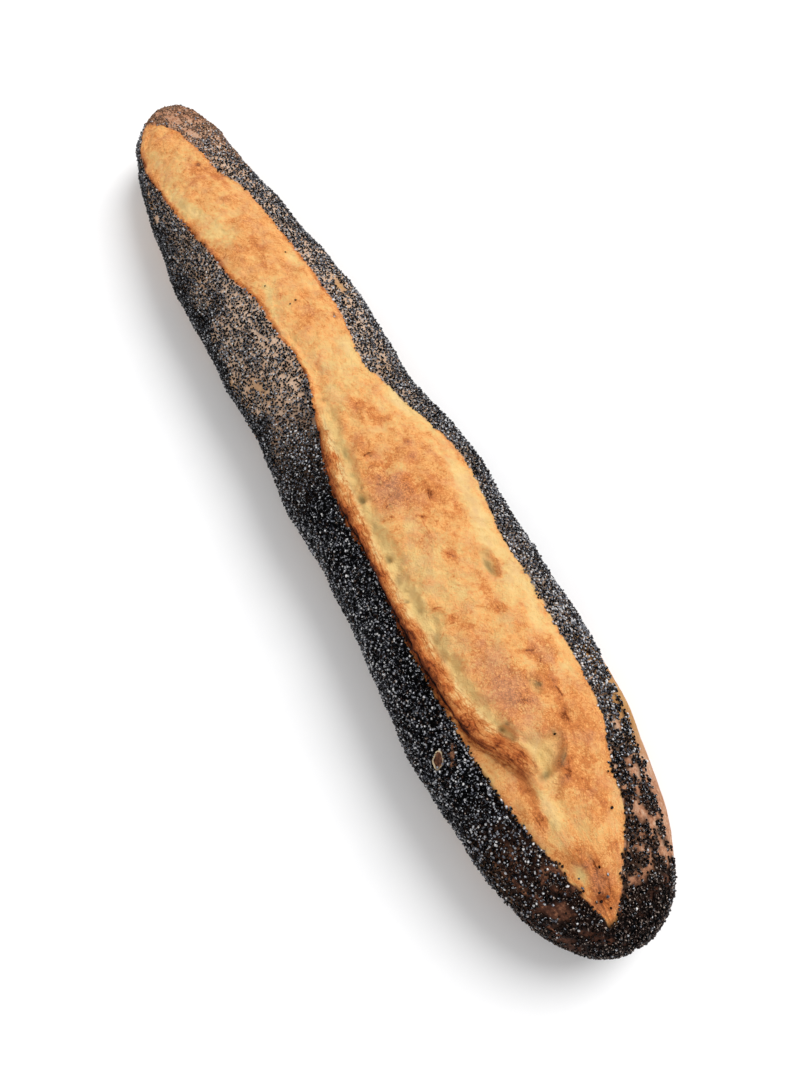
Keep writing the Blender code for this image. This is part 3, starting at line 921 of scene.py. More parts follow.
@dataclass
class Baking:
    """How brown, how pale and how raw each place on the crust is."""

    surface: CrustSurface
    level: Knots = Knots((
        (30, 0.4), (60, 0.37), (100, 0.34), (150, 0.37), (200, 0.35), (230, 0.26), (262, 0.36),
        (290, 0.41), (325, 0.33), (345, 0.31), (370, 0.35), (410, 0.38), (430, 0.38), (450, 0.44)))
    tan: BothSides = BothSides(
        Knots(((0, 0.42), (50, 0.36), (100, 0.24), (160, 0.22), (240, 0.28), (300, 0.5), (400, 0.6),
               (425, 0.7), (440, 0.78), (455, 0.84), (470, 1))),
        Knots(((0, 0.56), (30, 0.5), (60, 0.36), (90, 0.26), (200, 0.2), (300, 0.2), (390, 0.28),
               (408, 0.38), (422, 0.48), (436, 0.53), (452, 0.56), (460, 0.88), (470, 1))))
    blister_tan: float = 0.84
    slow: Noise = Noise(16.0, 61, 2)
    mottle: Noise = Noise(4.0, 67, 4, 0.7)
    pockets: Noise = Noise(5.5, 79, 2)
    edge: Noise = Noise(2.6, 73, 3, 0.65)
    browner: tuple[Patch, ...] = patches(
        (292, 2, 34, 15, 0.08), (296, 1, 12, 8, 0.08), (253, 4, 6, 5, 0.2), (260, 7, 8, 4.5, 0.24, 12),
        (267, 11, 8, 3, 0.12), (278.5, 13, 3.2, 2.2, 0.22), (286, 12, 3.8, 2.2, 0.24),
        (304.5, 9.6, 7, 1.7, 0.22, -12), (309, 12, 20, 4, 0.08, -8), (318, 8.5, 6, 4, 0.2),
        (330.5, 3.8, 4.6, 4, 0.38), (311, 2.2, 3, 1.2, 0.22, 50), (306.5, -8, 2.2, 1.6, 0.3, 60),
        (305.8, -11, 1.8, 1, 0.2, 80), (275, 24, 6, 2, 0.12), (346, 9, 9, 3.5, 0.16),
        (356, 9.5, 5, 3.6, 0.28, 20), (352, -7, 2.4, 2, 0.32), (361.5, 0.5, 3, 1, 0.2, 55),
        (366, 12.3, 6, 3, 0.22), (376, 11.6, 6, 3.4, 0.28), (374, 8, 3, 1.5, 0.24, 70),
        (386.5, 12, 9, 4.5, 0.24), (378, 17, 15, 5, 0.2), (356, -3, 10, 10, 0.12), (386, 0, 9, 14, 0.1),
        (401, 4, 9, 9, 0.12), (280, -3, 9, 5, 0.1), (254, 3, 10, 9, 0.08), (312, 17, 8, 5, 0.1),
        (77, -4, 12, 7, 0.1), (87, -5, 16, 9, 0.12), (148, -1, 12, 14, 0.06), (435, 4, 12, 8, 0.08),
        (120, 0, 30, 10, 0.07), (205, 2, 10, 8, 0.08), (391.5, 12.6, 5, 1.4, 0.24),
        (398, 10, 9, 2.8, 0.32, -14), (406, 9, 6, 2.8, 0.36, -20), (411.5, 5, 5, 2.6, 0.26, -60),
        (417, -1, 7, 3.2, 0.26, -60), (420, 4, 9, 6, 0.14, -20), (390, 1, 4.2, 2.2, 0.22, 50),
        (386, -3, 8, 5, 0.12), (372, -3, 16, 7, 0.08), (405.5, -12, 7, 4, 0.36),
        (414, -13.2, 7, 3.2, 0.36), (423, -13.8, 7, 2.2, 0.36, 5), (402, 14, 14, 4, 0.1, -20),
        # the patch at station 439.5 is painted shade beside the pale step at station 443
        (424, 4.5, 16, 7, 0.13, -20), (439.5, -7, 8, 5, 0.2, 40), (447, -7, 8, 5, 0.22, -20),
        (440, -14, 14, 2.5, 0.1, 10), (452, -8, 10, 6, 0.36, -10), (340, 18, 8, 5, 0.2),
        (430, 6, 7, 4, 0.14), (258, 5, 17, 7, 0.12), (415, 2, 9, 8, 0.18), (386, -1, 14, 9, 0.08),
        (309, 17, 8, 4, 0.14), (92, 3.5, 15, 5, 0.32, 10), (147, 2.4, 14, 5, 0.13, 12),
        (160, 0.5, 12, 2.2, 0.15, -12), (197.6, 4.9, 10, 5, 0.15), (79.7, -1.9, 3.6, 2.2, 0.34),
        (74.2, -4.4, 2.6, 1.6, 0.2), (81, -9.5, 3, 1.5, 0.15), (86, -3, 9, 4, 0.18),
        (225.4, -2.3, 3.6, 2.6, 0.2), (222, 0.7, 3, 2, 0.14), (179, -10.4, 11, 1.5, 0.3, 10),
        (183, 18.6, 12, 1.6, 0.2, -5), (203.5, 15.9, 3.5, 1.5, 0.22), (40, -1.5, 10, 1.6, 0.3, 25))
    paler: tuple[Patch, ...] = patches(
        (280, 27, 42, 3, 0.12, 6), (250, 22, 12, 4, 0.14), (333, 21, 44, 7, 0.2, -3),
        (283, 22, 9, 4, 0.2, 10), (300, 25, 14, 4, 0.16), (318, 23, 18, 6, 0.14), (330, 18, 12, 5, 0.12),
        (352, 24, 13, 4, 0.16, -5), (255, 21, 10, 5, 0.1), (132, -14, 10, 6, 0.1),
        (433, -1, 10, 10, 0.08), (100, -6, 9, 8, 0.06), (427, -11, 12, 5, 0.12), (205, 15, 10, 6, 0.06),
        (250, 22, 8, 4, 0.1), (372, 23, 8, 3, 0.12), (366, 20, 12, 5, 0.18, -8), (381, 20, 12, 4, 0.12),
        (365, -16.5, 10, 1.6, 0.2), (256, 20, 14, 5, 0.22, 20), (287.5, 5, 5.5, 4, 0.22),
        (288, 0.8, 3.6, 3, 0.22), (314, -4, 8, 5, 0.14), (325, -8, 12, 6, 0.12), (347, 0, 8, 4, 0.12),
        (340, -5, 18, 6, 0.1), (300, -12, 16, 5, 0.1), (250, -2, 16, 6, 0.1), (404, -4, 6, 5, 0.16),
        (421, -10, 8, 3.4, 0.3, -8), (443.5, -11.2, 4, 2.2, 0.34), (108, -16, 30, 5.5, 0.24, 12),
        (128.5, -15.3, 12, 3, 0.1, 12), (62, -18, 26, 5, 0.14), (132, -8, 18, 8, 0.16),
        (270, 23, 22, 6, 0.2, 14), (295, 25, 16, 6, 0.14), (178, -4, 12, 4, 0.14),
        (187, -6.5, 20, 2.6, 0.2, -8), (222, 12.5, 14, 5, 0.14), (159.7, 14.2, 14, 4, 0.14))
    rosy: tuple[Patch, ...] = patches(
        (384, -4, 28, 14, 0.9), (296, -2, 19, 12, 0.8), (380, 15, 16, 6, 0.5), (324, -4, 15, 10, 0.4))
    mottle_contrast: float = 3.2
    uneven: Pair = (0.09, 0.065)  # how far slow noise and blotches change the crumb's tone
    rosy_calm: float = 0.6
    browner_mottle: float = 0.45
    flake_tone: float = 0.10
    height_tone: float = 0.10  # how much browner a high place is than a low one
    mean_height: float = 0.1
    hollow_shade_reach: Pair = (0.95, 0.3)  # middle and half width of a hollow's rim of painted shade on its +Y wall
    hollow_shade_tone: float = 0.09
    gully_tone: float = 0.16
    left_rim: Pair = (0.10, 0.5)  # half width and tone of the brown rim on the left
    left_rim_mottle: float = 0.6
    left_rim_slim: Triple = (236, 262, 0.4)
    left_rim_end: Pair = (370, 385)
    right_rim: Pair = (0.09, 0.18)
    right_rims: tuple[Pair, ...] = ((40, 26), (165, 50))  # its stretches, as (middle, half length)
    right_rim_near: Triple = (240, 256, 0.12)
    tip_tone: Triple = (26, 34, 0.10)
    upper: Pair = (0.02, 0.2)  # sines of the angles over which the upper side sets in
    torn_edge: Pair = (1.1, 0.7)  # raggedness and softness of the shell's torn edge
    raw_pockets: Pair = (0.7, 0.9)
    raw_hollow: float = 0.6
    hollow_reach: float = 1.1
    blister_reach: float = 2.0
    base_light: Pair = (0.0, 0.5)  # sines of the angles over which the base's colour ends
    base_end: Pair = (418, 450)
    flank_foot: Pair = (0.66, 0.76)
    lip_ends: Span = (240, 262, 406, 417)
    # stations of the dark line at the lip's foot: partly charred crust, partly painted shade in the
    # crevice under the overhang
    char_and_crevice_shade_ends: Span = (286, 298, 388, 398)
    gully_ends: Span = (238, 262, 404, 424)
    gully_half: float = 5.0
    gully_shift: float = 0.6
    torn_ends: Span = (22, 26, 457.5, 460.5)  # stations between which the shell is torn open
    flank: Span = (366, 380, 410, 426)  # stations of the bare lower side on the right
    lip_places: tuple[float, ...] = (-1.5, -1.15, -0.95, -0.7, -0.4, -0.05, 0.3, 0.75)
    lip_shades: tuple[float, ...] = (0.58, 0.80, 0.90, 0.78, 0.61, 0.44, 0.28, 0.12)
    nose_shades: tuple[float, ...] = (0.26, 0.42, 0.88, 0.82, 0.60, 0.43, 0.30, 0.10)
    nose: Pair = (362, 382)  # stations over which the nose's shades set in
    slim_lip: Triple = (280, 304, 0.17)
    lip_tones: tuple[Triple, ...] = (  # station, half length, tone
        (299, 7, -0.10), (352, 25, 0.10))
    beak: Pair = (389, 402)
    beak_face: Pair = (0.3, 1.0)
    beak_shade: float = 0.38
    scorch_uneven: Pair = (0.17, 0.18)
    outer_wander: float = 0.12
    outer_limit: float = 3.0
    lip_crest: Pair = (-1.6, -1.4)
    lip_foot: Pair = (0.45, 1.15)
    mark_reach: float = 3.0
    blister: Patch = Patch(391, -33, 2.7, 1.6, 1.0, -28)
    gilded: tuple[Patch, ...] = patches(
        (182.4, 28, 12, 5, 1), (75, -31, 14, 5, 0.9), (220, -27, 16, 5, 0.7, 15), (196, 25, 10, 4, 0.5),
        (236, 24, 12, 4, 0.5), (150, -28, 20, 4, 0.4))

    def blotches(self, points: Array) -> Array:
        """Patches with fairly clear edges, between -1 and 1."""
        return np.tanh(self.mottle_contrast * self.mottle.at(points))

    def gully(self, station: Array, beyond: Array) -> Array:
        """1 in the pale gully on the inner side of the lip."""
        middle = self.surface.loaf.burst.lip_fall + self.gully_shift
        return hump((beyond - middle) / self.gully_half) * within(station, self.gully_ends)

    def scorch(self, station: Array, outer: Array, points: Array) -> Array:
        """How dark the lip is, from 0 for its pale inner edge to 1 for its charred foot.

        Args:
            station: places along the loaf.
            outer: places across the lip: -1 at its foot, 0 at its crest.
            points: places in millimetres.

        Returns:
            A number for each place.
        """
        scorch = np.interp(outer, self.lip_places, self.lip_shades)
        nose = np.interp(outer, self.lip_places, self.nose_shades)
        scorch = scorch + (nose - scorch) * ramp(station, *self.nose)
        start, end, tone = self.slim_lip
        scorch = scorch - tone * fall(station, start, end)
        for middle, half, tone in self.lip_tones:
            scorch = scorch + tone * hump((station - middle) / half)
        beak = ramp(station, *self.beak) * (1 - ramp(outer, *self.beak_face))
        scorch = scorch + beak * (self.beak_shade - scorch)
        blotches, slow = self.scorch_uneven
        return scorch + blotches * self.blotches(points) + slow * self.slow.at(2 * points)

    def lip(self, station: Array, side: Array, points: Array) -> dict[str, Array]:
        """The numbers that the lip's own colours are read from.

        Args:
            station: places along the loaf.
            side: places across it.
            points: places in millimetres.

        Returns:
            Named arrays, as the material's nodes read them.
        """
        burst = self.surface.loaf.burst
        outer = burst.from_lip(station, side) / burst.lip_side.at(station)
        outer = outer + self.outer_wander * self.edge.at(points)
        outer = np.clip(outer, -self.outer_limit, self.outer_limit)
        face = ramp(outer, *self.lip_crest) * (1 - ramp(outer, *self.lip_foot))
        return {"lip": face * within(station, self.lip_ends), "outer": outer,
                "scorch": self.scorch(station, outer, points), "char_and_crevice_shade": within(station, self.char_and_crevice_shade_ends)}

    def creases(self, station: Array, side: Array) -> dict[str, Array]:
        """The distance from the nearest crease, and how strong that crease is.

        Args:
            station: places along the loaf.
            side: places across it.

        Returns:
            Named arrays, as the material's nodes read them.
        """
        nearest, strength = np.full(station.shape, self.mark_reach), 0 * station
        for mark in self.surface.loaf.burst.marks:
            away, share = mark.reach(station, side)
            closer = (np.abs(away) < np.abs(nearest)) & (share > 0.01)
            nearest, strength = np.where(closer, away, nearest), np.where(closer, share, strength)
        return {"crease": nearest, "creased": strength}

    def rosiness(self, station: Array, side: Array) -> Array:
        """1 in the middle of the pink, finely wrinkled patches, and 0 away from them."""
        return sum((patch.share(station, side) for patch in self.rosy), 0 * station)

    def bake(self, station: Array, side: Array, points: Array) -> Array:
        """How brown the torn crumb is, from 0 for pale to 1 for scorched.

        Args:
            station: places along the loaf.
            side: places across it.
            points: places in millimetres.

        Returns:
            A number for each place.
        """
        burst, fine = self.surface.loaf.burst, self.surface.fine
        beyond = burst.from_lip(station, side)
        share = burst.share(station, side)
        blotches = self.blotches(points)
        patchy = blotches * (1 - self.rosy_calm * np.clip(self.rosiness(station, side), 0, 1))
        bake = self.level.at(station) + self.uneven[0] * self.slow.at(points) + self.uneven[1] * patchy
        bake = bake + self.flake_tone * fine.flakes(points)[1]
        bake = bake + self.height_tone * (fine.crumb(points) - self.mean_height)
        for patch in self.browner:
            bake = bake + patch.share(station, side) * (1 + self.browner_mottle * patchy)
        for patch in self.paler:
            bake = bake - patch.share(station, side)
        # painted shade: each hollow's rim is darker on its +Y side, where the wall faces away from the key
        # light
        for hollow in burst.hollows:
            rim = hump((hollow.reach(station, side) - self.hollow_shade_reach[0]) / self.hollow_shade_reach[1])
            rim = rim * ramp(side, hollow.side - 1, hollow.side + 2)
            bake = bake + self.hollow_shade_tone * hollow.strength**0.5 * rim
        bake = bake - self.gully_tone * self.gully(station, beyond)
        half, tone = self.left_rim
        start, end, thinner = self.left_rim_slim
        rim = hump(share / half) * (1 - thinner * ramp(station, start, end))
        rim = rim * fall(station, *self.left_rim_end)
        bake = bake + tone * rim * (1 + self.left_rim_mottle * blotches)
        half, tone = self.right_rim
        far = sum(hump((station - middle) / reach) for middle, reach in self.right_rims)
        start, end, near = self.right_rim_near
        bake = bake + (near * fall(station, start, end) + tone * far) * hump((1 - share) / half)
        start, end, tone = self.tip_tone
        return bake + tone * fall(station, start, end)

    def masks(self, station: Array, angle: Array) -> dict[str, Array]:
        """Work out the numbers that the crust's material reads.

        Args:
            station: places along the loaf.
            angle: places round it, in radians.

        Returns:
            Named arrays with one number for each place, as the material's nodes read them.
        """
        burst = self.surface.loaf.burst
        points = self.surface.loaf.plain(station, angle)
        side = points[..., 1]
        upper = ramp(np.sin(angle), *self.upper)
        ragged, soft = self.torn_edge
        torn = burst.inside(station, side + ragged * self.edge.at(points), soft) * upper
        level, change = self.raw_pockets
        raw = self.gully(station, burst.from_lip(station, side))
        raw = raw * (level + change * self.pockets.at(points))
        for hollow in burst.hollows:
            floor = hump(hollow.reach(station, side) / self.hollow_reach)
            raw = raw + self.raw_hollow * hollow.strength**0.5 * floor
        # the pits' olive colour: partly grey-green crumb, partly painted shade in the pits
        pit = 0 * station
        for hollow in burst.pits:
            pit = pit + hollow.strength * hump(hollow.reach(station, side) / self.hollow_reach)
        tan = self.tan.at(station, burst.is_left(station, side))
        blister = hump(self.blister.reach(station, side) / self.blister_reach) * upper
        tan = tan + (self.blister_tan - tan) * blister
        flank = fall(np.sin(angle), *self.flank_foot) * within(station, self.flank) * (side > 0)
        base = fall(np.sin(angle), *self.base_light) * (1 - ramp(station, *self.base_end))
        under = np.maximum(base, flank)
        for patch in self.gilded:
            under = np.maximum(under, patch.share(station, side) * upper)
        return {"bake": self.bake(station, side, points), "raw": np.clip(raw, 0, 1),
                "pit": np.clip(pit, 0, 1), "rosy": self.rosiness(station, side),
                "torn": torn * within(station, self.torn_ends), "tan": tan, "underside": under,
                **self.lip(station, side, points), **self.creases(station, side)}


# ---------------- seeds

class SeedKind(Enum):
    """Colours that poppy seeds come in, with how common each is. BAKED ones lie by the tip. SLATE and PALE
    grains also stand in for glints, as painted highlights.
    """

    BLACK = ("seeds_black", 0.31)
    BLUE = ("seeds_blue_black", 0.31)
    BROWN = ("seeds_brown", 0.12)
    SLATE = ("seeds_slate", 0.17)
    PALE = ("seeds_pale", 0.09)
    BAKED = ("seeds_baked", 0.0)

    @property
    def piece(self) -> str:
        """Name of the piece that holds this kind."""
        return self.value[0]

    @property
    def share(self) -> float:
        """Share of all seeds."""
        return self.value[1]


@dataclass
class SeedCoat:
    """The coat of poppy seeds on the shell, thick in some places and rubbed off in others."""

    surface: CrustSurface
    row_step: float = 0.86
    grain_step: float = 0.94
    jitter: float = 0.36
    length: Pair = (0.88, 1.24)
    width: float = 0.84
    height: float = 0.78
    lift: Pair = (0.0, 0.30)
    bedding: float = 0.12  # share of its length that a grain stands off the crust
    lean: float = 0.25
    belt: float = 0.22  # how far the grain's belt zigzags
    bend: Pair = (0.22, -0.08)  # how far the grain bends like a kidney
    turns: Pair = (-60, 240)  # angles between which grains are laid, in degrees
    turn_steps: int = 601
    walk_steps: int = 4000
    tip_height: float = 30.0  # how far the crust climbs over a rounded end
    walk_gap: float = 0.15  # distances that rows, grains and heaps keep from the tips
    tip_gap: float = 0.1
    heap_gap: float = 0.2
    second_layer: float = 0.16
    second_lift: float = 0.5
    second_cover: Pair = (0.6, 1.0)
    second_clumping: float = 1.5
    second_tip: Triple = (425, 450, 0.8)
    draw: int = 7
    clump: Noise = Noise(4.0, 83, 3, 0.6)
    drift: Noise = Noise(14.0, 89, 2)
    parting: Noise = Noise(6.0, 101, 2, 0.4)
    clumping: Pair = (0.7, 0.5)  # how strongly clumps and drifts vary the cover
    thinning: float = 1.5
    fullest: float = 1.15
    parting_width: float = 0.26
    parting_edge: float = 0.05
    gap_depth: float = 1.6
    gap_foot: Pair = (0.0, 0.1)
    edge_width: float = 1.6
    bare_share: float = 0.75
    ragged: Pair = (1.4, 1.6)  # how ragged the edge is, and how much more by the blunt tip
    ragged_tip: Pair = (436, 452)
    foot_wander: Pair = (5.0, 4.0)
    foot_edge: float = 2.0
    bare_ends: Pair = (23, 459)  # stations between which the burst is bare
    tip_strays: float = 0.07
    stray_tip: Pair = (438, 456)
    margin: Pair = (144, 170)  # angles over which the thick black margin sets in
    margin_ends: Span = (50, 70, 235, 270)
    margin_wander: Pair = (34.0, 10.0)
    margin_share: float = 0.9
    dark_cover: Pair = (0.35, 0.85)
    light_wander: Pair = (0.9, 0.7)
    baked: Knots = Knots(((0, 0.9), (35, 0.8), (55, 0.5), (80, 0.12), (100, 0)))
    edge: Noise = Noise(2.6, 73, 3, 0.65)
    full: BothSides = BothSides(
        Knots(((0, 0.5), (40, 0.78), (70, 0.88), (110, 0.92), (140, 0.91), (165, 0.81), (200, 0.74),
               (235, 0.76), (252, 0.9), (270, 0.98), (300, 1), (410, 1), (430, 0.82), (445, 0.62),
               (458, 0.6), (470, 0.9))),
        Knots(((0, 0.38), (25, 0.42), (50, 0.54), (65, 0.7), (90, 0.8), (130, 0.84), (160, 0.8),
               (180, 0.8), (215, 0.84), (240, 0.92), (262, 0.98), (300, 0.98), (370, 0.94), (400, 0.9),
               (415, 0.78), (445, 0.7), (456, 0.78), (470, 0.9))))
    # how dark the crust between the grains is painted: partly shade between them, partly lower seeds
    dark: BothSides = BothSides(
        Knots(((0, 0.1), (60, 0.15), (120, 0.15), (160, 0.1), (235, 0.1), (255, 0.7), (280, 0.98),
               (410, 0.98), (435, 0.8), (455, 0.9), (470, 1))),
        Knots(((0, 0), (90, 0.1), (235, 0.3), (265, 0.5), (300, 0.6), (390, 0.6), (410, 0.8),
               (445, 0.85), (458, 0.95), (470, 1))))
    # share of light grains: higher on the +Y side, facing the key light, as painted glints, and low at the
    # blunt end's foot as painted shade
    light: BothSides = BothSides(
        Knots(((0, 0.4), (60, -0.5), (110, -0.6), (160, -0.5), (235, -0.5), (300, -0.35), (380, -0.3),
               (420, -0.2), (437, 0.1), (450, -0.05), (465, -1.1))),
        Knots(((0, 0.7), (50, 0.5), (80, 0.2), (230, 0.2), (260, 0.1), (340, 0.4), (390, 0.5),
               (420, -0.4), (460, -1.1))))
    parted: BothSides = BothSides(
        Knots(((0, 0.3), (50, 0.6), (130, 0.6), (160, 0.4), (235, 0.4), (260, 0), (425, 0.1), (442, 0.7),
               (470, 0.2))),
        Knots(((0, 0.2), (370, 0.3), (395, 0.8), (415, 1), (452, 1), (462, 0.3))))
    left_foot: Knots = Knots((
        (0, 200), (35, 196), (50, 184), (70, 180), (90, 192), (140, 206), (300, 210), (420, 208),
        (440, 200), (470, 212)))
    right_foot: Knots = Knots((
        (0, -20), (60, -14), (200, -22), (362, -18), (376, 4), (388, 22), (400, 31), (412, 34),
        (425, 36), (440, 35), (450, 30), (458, 12), (464, -30)))
    burnt: Knots = Knots(((415, 0), (435, 0.38), (455, 0.7), (470, 0.75)))
    gaps: tuple[Patch, ...] = patches(
        (436, 15.5, 7, 1, 0.9, 65), (445, 9.5, 2.4, 2, 1), (442, 12.5, 2.2, 1.2, 0.8, 60),
        (453, 4, 3, 1.5, 0.8, 70), (424, 24, 2.5, 1.5, 0.8), (421, 16.5, 1.8, 1.2, 0.6),
        (182.4, 28, 7, 2.6, 0.9), (391, -33, 4.2, 2.4, 1.4, -28), (448, -23.3, 3.5, 2, 0.8, 30),
        (443.6, -20, 3, 1.7, 0.9), (230, -14.6, 9, 1.2, 0.7, -5), (197, -17, 9, 1, 0.8, 20),
        (92, -31, 5, 1.5, 0.9), (65, 24, 12, 2.5, 0.7, 12), (197, 25, 6, 2.5, 0.4),
        (33, 1, 10, 4, 0.7, 20), (52, 5.5, 14, 3, 0.5, 20), (410, 26, 1.5, 3.5, 0.6, 20),
        (220, -27, 8, 1.6, 0.6, 15), (392.5, -28.6, 5.5, 1.1, 1.4, -28))
    strays: tuple[Pair, ...] = (  # single grains on the crumb, as (station, side)
        (156.7, 12.5), (190, 3.6), (190.9, 0.7), (431, 7.6), (403, 3.8), (174.8, -4.6),
        (450, -8.5), (446.5, -12.5), (452, -10.5), (421, 13), (204, 15.4))

    def along_margin(self, station: Array, degrees: Array, points: Array) -> Array:
        """1 low on the -Y side of the tapered half, where the coat is thick and black.

        Args:
            station: places along the loaf.
            degrees: places round it, in degrees.
            points: places in millimetres.

        Returns:
            A number for each place.
        """
        slow, quick = self.margin_wander
        low = degrees + slow * self.drift.at(points) + quick * self.clump.at(points)
        return self.margin_share * ramp(low, *self.margin) * within(station, self.margin_ends)

    def cover(self, station: Array, angle: Array, side: Array, points: Array) -> Array:
        """Chance that a place holds a grain.

        Args:
            station: places along the loaf.
            angle: places round it, in radians.
            side: places across it.
            points: the same places on the plain loaf.

        Returns:
            A number for each place, 0 for bare.
        """
        burst = self.surface.loaf.burst
        degrees = np.degrees(angle)
        clump, drift = self.clump.at(points), self.drift.at(points)
        left = burst.is_left(station, side)
        chance = self.full.at(station, left)
        rough = self.clumping[0] * clump + self.clumping[1] * drift
        width = self.parting_width * (1 - chance)
        parted = ramp(np.abs(self.parting.at(points)), width, width + self.parting_edge)
        chance = chance + (self.fullest - chance) * self.thinning * rough
        chance = chance + self.parted.at(station, left) * (parted - chance)
        chance = chance + (1 - chance) * self.along_margin(station, degrees, points)
        for gap in self.gaps:
            share = gap.share(station, side) * ramp(np.sin(angle), *self.gap_foot)
            chance = chance - self.gap_depth * share
        foot = self.foot_wander[0] * clump + self.foot_wander[1] * drift
        low, high = self.right_foot.at(station), self.left_foot.at(station)
        chance = chance * ramp(degrees + foot, low - self.foot_edge, low + self.foot_edge)
        chance = chance * fall(degrees - foot, high - self.foot_edge, high + self.foot_edge)
        ragged = self.ragged[0] + self.ragged[1] * ramp(station, *self.ragged_tip)
        inside = burst.inside(station, side + ragged * self.edge.at(points), self.edge_width)
        start, end = self.bare_ends
        inside = inside * (np.sin(angle) > 0) * (station > start) * (station < end)
        bare = ramp(inside, 0.0, self.bare_share) * (1 - self.tip_strays * ramp(station, *self.stray_tip))
        return chance * (1 - bare)

    def darkness(self, station: Array, angle: Array, points: Array) -> Array:
        """How dark the crust is painted between the grains, from 0 to 1: partly shade between them, partly
        lower seeds.

        Args:
            station: places along the loaf.
            angle: places round it, in radians.
            points: places in millimetres.

        Returns:
            A number for each place.
        """
        side = points[..., 1]
        dark = self.dark.at(station, self.surface.loaf.burst.is_left(station, side))
        dark = np.maximum(dark, self.along_margin(station, np.degrees(angle), points))
        return dark * ramp(self.cover(station, angle, side, points), *self.dark_cover)

    def places(self, draw: np.random.Generator) -> tuple[Array, Array]:
        """Spread grains evenly, a grain's width apart, then thin them by the cover.

        Args:
            draw: the random draw.

        Returns:
            The grains' stations and angles.
        """
        loaf = self.surface.loaf
        fine = np.linspace(self.walk_gap, loaf.length - self.walk_gap, self.walk_steps)
        profile = np.hypot(np.diff(fine), self.tip_height * np.diff(loaf.end_rounding(fine)))
        walked = np.concatenate([[0], np.cumsum(profile)])
        rows = np.interp(np.arange(self.row_step, walked[-1], self.row_step), walked, fine)
        turn = np.radians(np.linspace(*self.turns, self.turn_steps))
        stations, angles = [], []
        for row in rows:
            ring = loaf.plain(np.full_like(turn, row), turn)
            around = np.concatenate([[0], np.cumsum(np.linalg.norm(np.diff(ring, axis=0), axis=-1))])
            spots = np.arange(draw.uniform(0, self.grain_step), around[-1], self.grain_step)
            spots = spots + draw.uniform(-self.jitter, self.jitter, len(spots))
            shift = draw.uniform(-self.jitter, self.jitter, len(spots))
            stations.append(row + shift * loaf.end_rounding(row))
            angles.append(np.interp(spots, around, turn))
        station = np.clip(np.concatenate(stations), self.tip_gap, loaf.length - self.tip_gap)
        angle = np.concatenate(angles)
        points = loaf.plain(station, angle)
        kept = draw.uniform(0, 1, len(station)) < self.cover(station, angle, points[:, 1], points)
        stray = np.array(self.strays)
        station = np.concatenate([station[kept], stray[:, 0]])
        angle = np.concatenate([angle[kept], loaf.angle_of(stray[:, 0], stray[:, 1])])
        return station, angle

    def grain(self) -> tuple[Array, Array]:
        """One kidney-shaped grain of unit size: its 8 points and 12 faces.

        Returns:
            Its points, and three vertex numbers for each face.
        """
        turn = np.radians(np.arange(6) * 60)
        ring = np.stack([np.cos(turn), np.sin(turn), self.belt * np.cos(3 * turn)], axis=1)
        points = np.concatenate([ring, [[0, 0, 1], [0, 0, -1]]])
        points[:, 1] += self.bend[0] * points[:, 0] ** 2 + self.bend[1]
        here, following = np.arange(6), (np.arange(6) + 1) % 6
        top, bottom = np.full(6, 6), np.full(6, 7)
        faces = np.concatenate([np.stack([here, following, top], axis=1),
                                np.stack([following, here, bottom], axis=1)])
        return points, faces

    def piled(self, station: Array, angle: Array, draw: np.random.Generator) -> tuple[Array, Array, Array]:
        """Add a few grains that lie on top of others where the coat is thick.

        Args:
            station: the first layer's stations.
            angle: its angles.
            draw: the random draw.

        Returns:
            All stations and angles, and how far each grain is lifted.
        """
        points = self.surface.loaf.plain(station, angle)
        cover = self.cover(station, angle, points[:, 1], points)
        heap = self.second_layer * ramp(cover, *self.second_cover)
        heap = heap * (1 + self.second_clumping * self.clump.at(points))
        start, end, less = self.second_tip
        heap = heap * (1 - less * ramp(station, start, end))
        chosen = draw.uniform(0, 1, len(station)) < heap
        half_step = self.row_step / 2
        extra = station[chosen] + draw.uniform(-half_step, half_step, chosen.sum())
        extra = np.clip(extra, self.heap_gap, self.surface.loaf.length - self.heap_gap)
        lift = draw.uniform(*self.lift, len(station) + chosen.sum())
        lift[len(station):] += self.second_lift
        return np.concatenate([station, extra]), np.concatenate([angle, angle[chosen]]), lift

    def shapes(self, station: Array, angle: Array, lift: Array, draw: np.random.Generator) -> Array:
        """Lay every grain on the crust, tilted and turned at random.

        Args:
            station: the grains' stations.
            angle: their angles.
            lift: how far each is lifted.
            draw: the random draw.

        Returns:
            The points of each grain, in millimetres.
        """
        count = len(station)
        normal = self.surface.loaf.outward(station, angle)
        centre = self.surface.points(station, angle)
        up = unit(normal + draw.normal(0, self.lean, (count, 3)))
        heading = draw.normal(0, 1, (count, 3))
        along = unit(heading - up * np.sum(heading * up, axis=1, keepdims=True))
        across = np.cross(up, along)
        length = draw.uniform(*self.length, count)[:, None]
        centre = centre + normal * (lift[:, None] + self.bedding * length)
        size = length * np.array([1.0, self.width, self.height]) / 2
        local = self.grain()[0][None] * size[:, None]
        return (centre[:, None] + local[..., :1] * along[:, None] + local[..., 1:2] * across[:, None]
                + local[..., 2:] * up[:, None])

    def kinds(self, station: Array, angle: Array, draw: np.random.Generator) -> dict[SeedKind, Array]:
        """Choose a colour for every grain.

        Args:
            station: the grains' stations.
            angle: their angles.
            draw: the random draw.

        Returns:
            For each colour, whether each grain has it.
        """
        points = self.surface.loaf.plain(station, angle)
        left = self.surface.loaf.burst.is_left(station, points[:, 1])
        slow, quick = self.light_wander
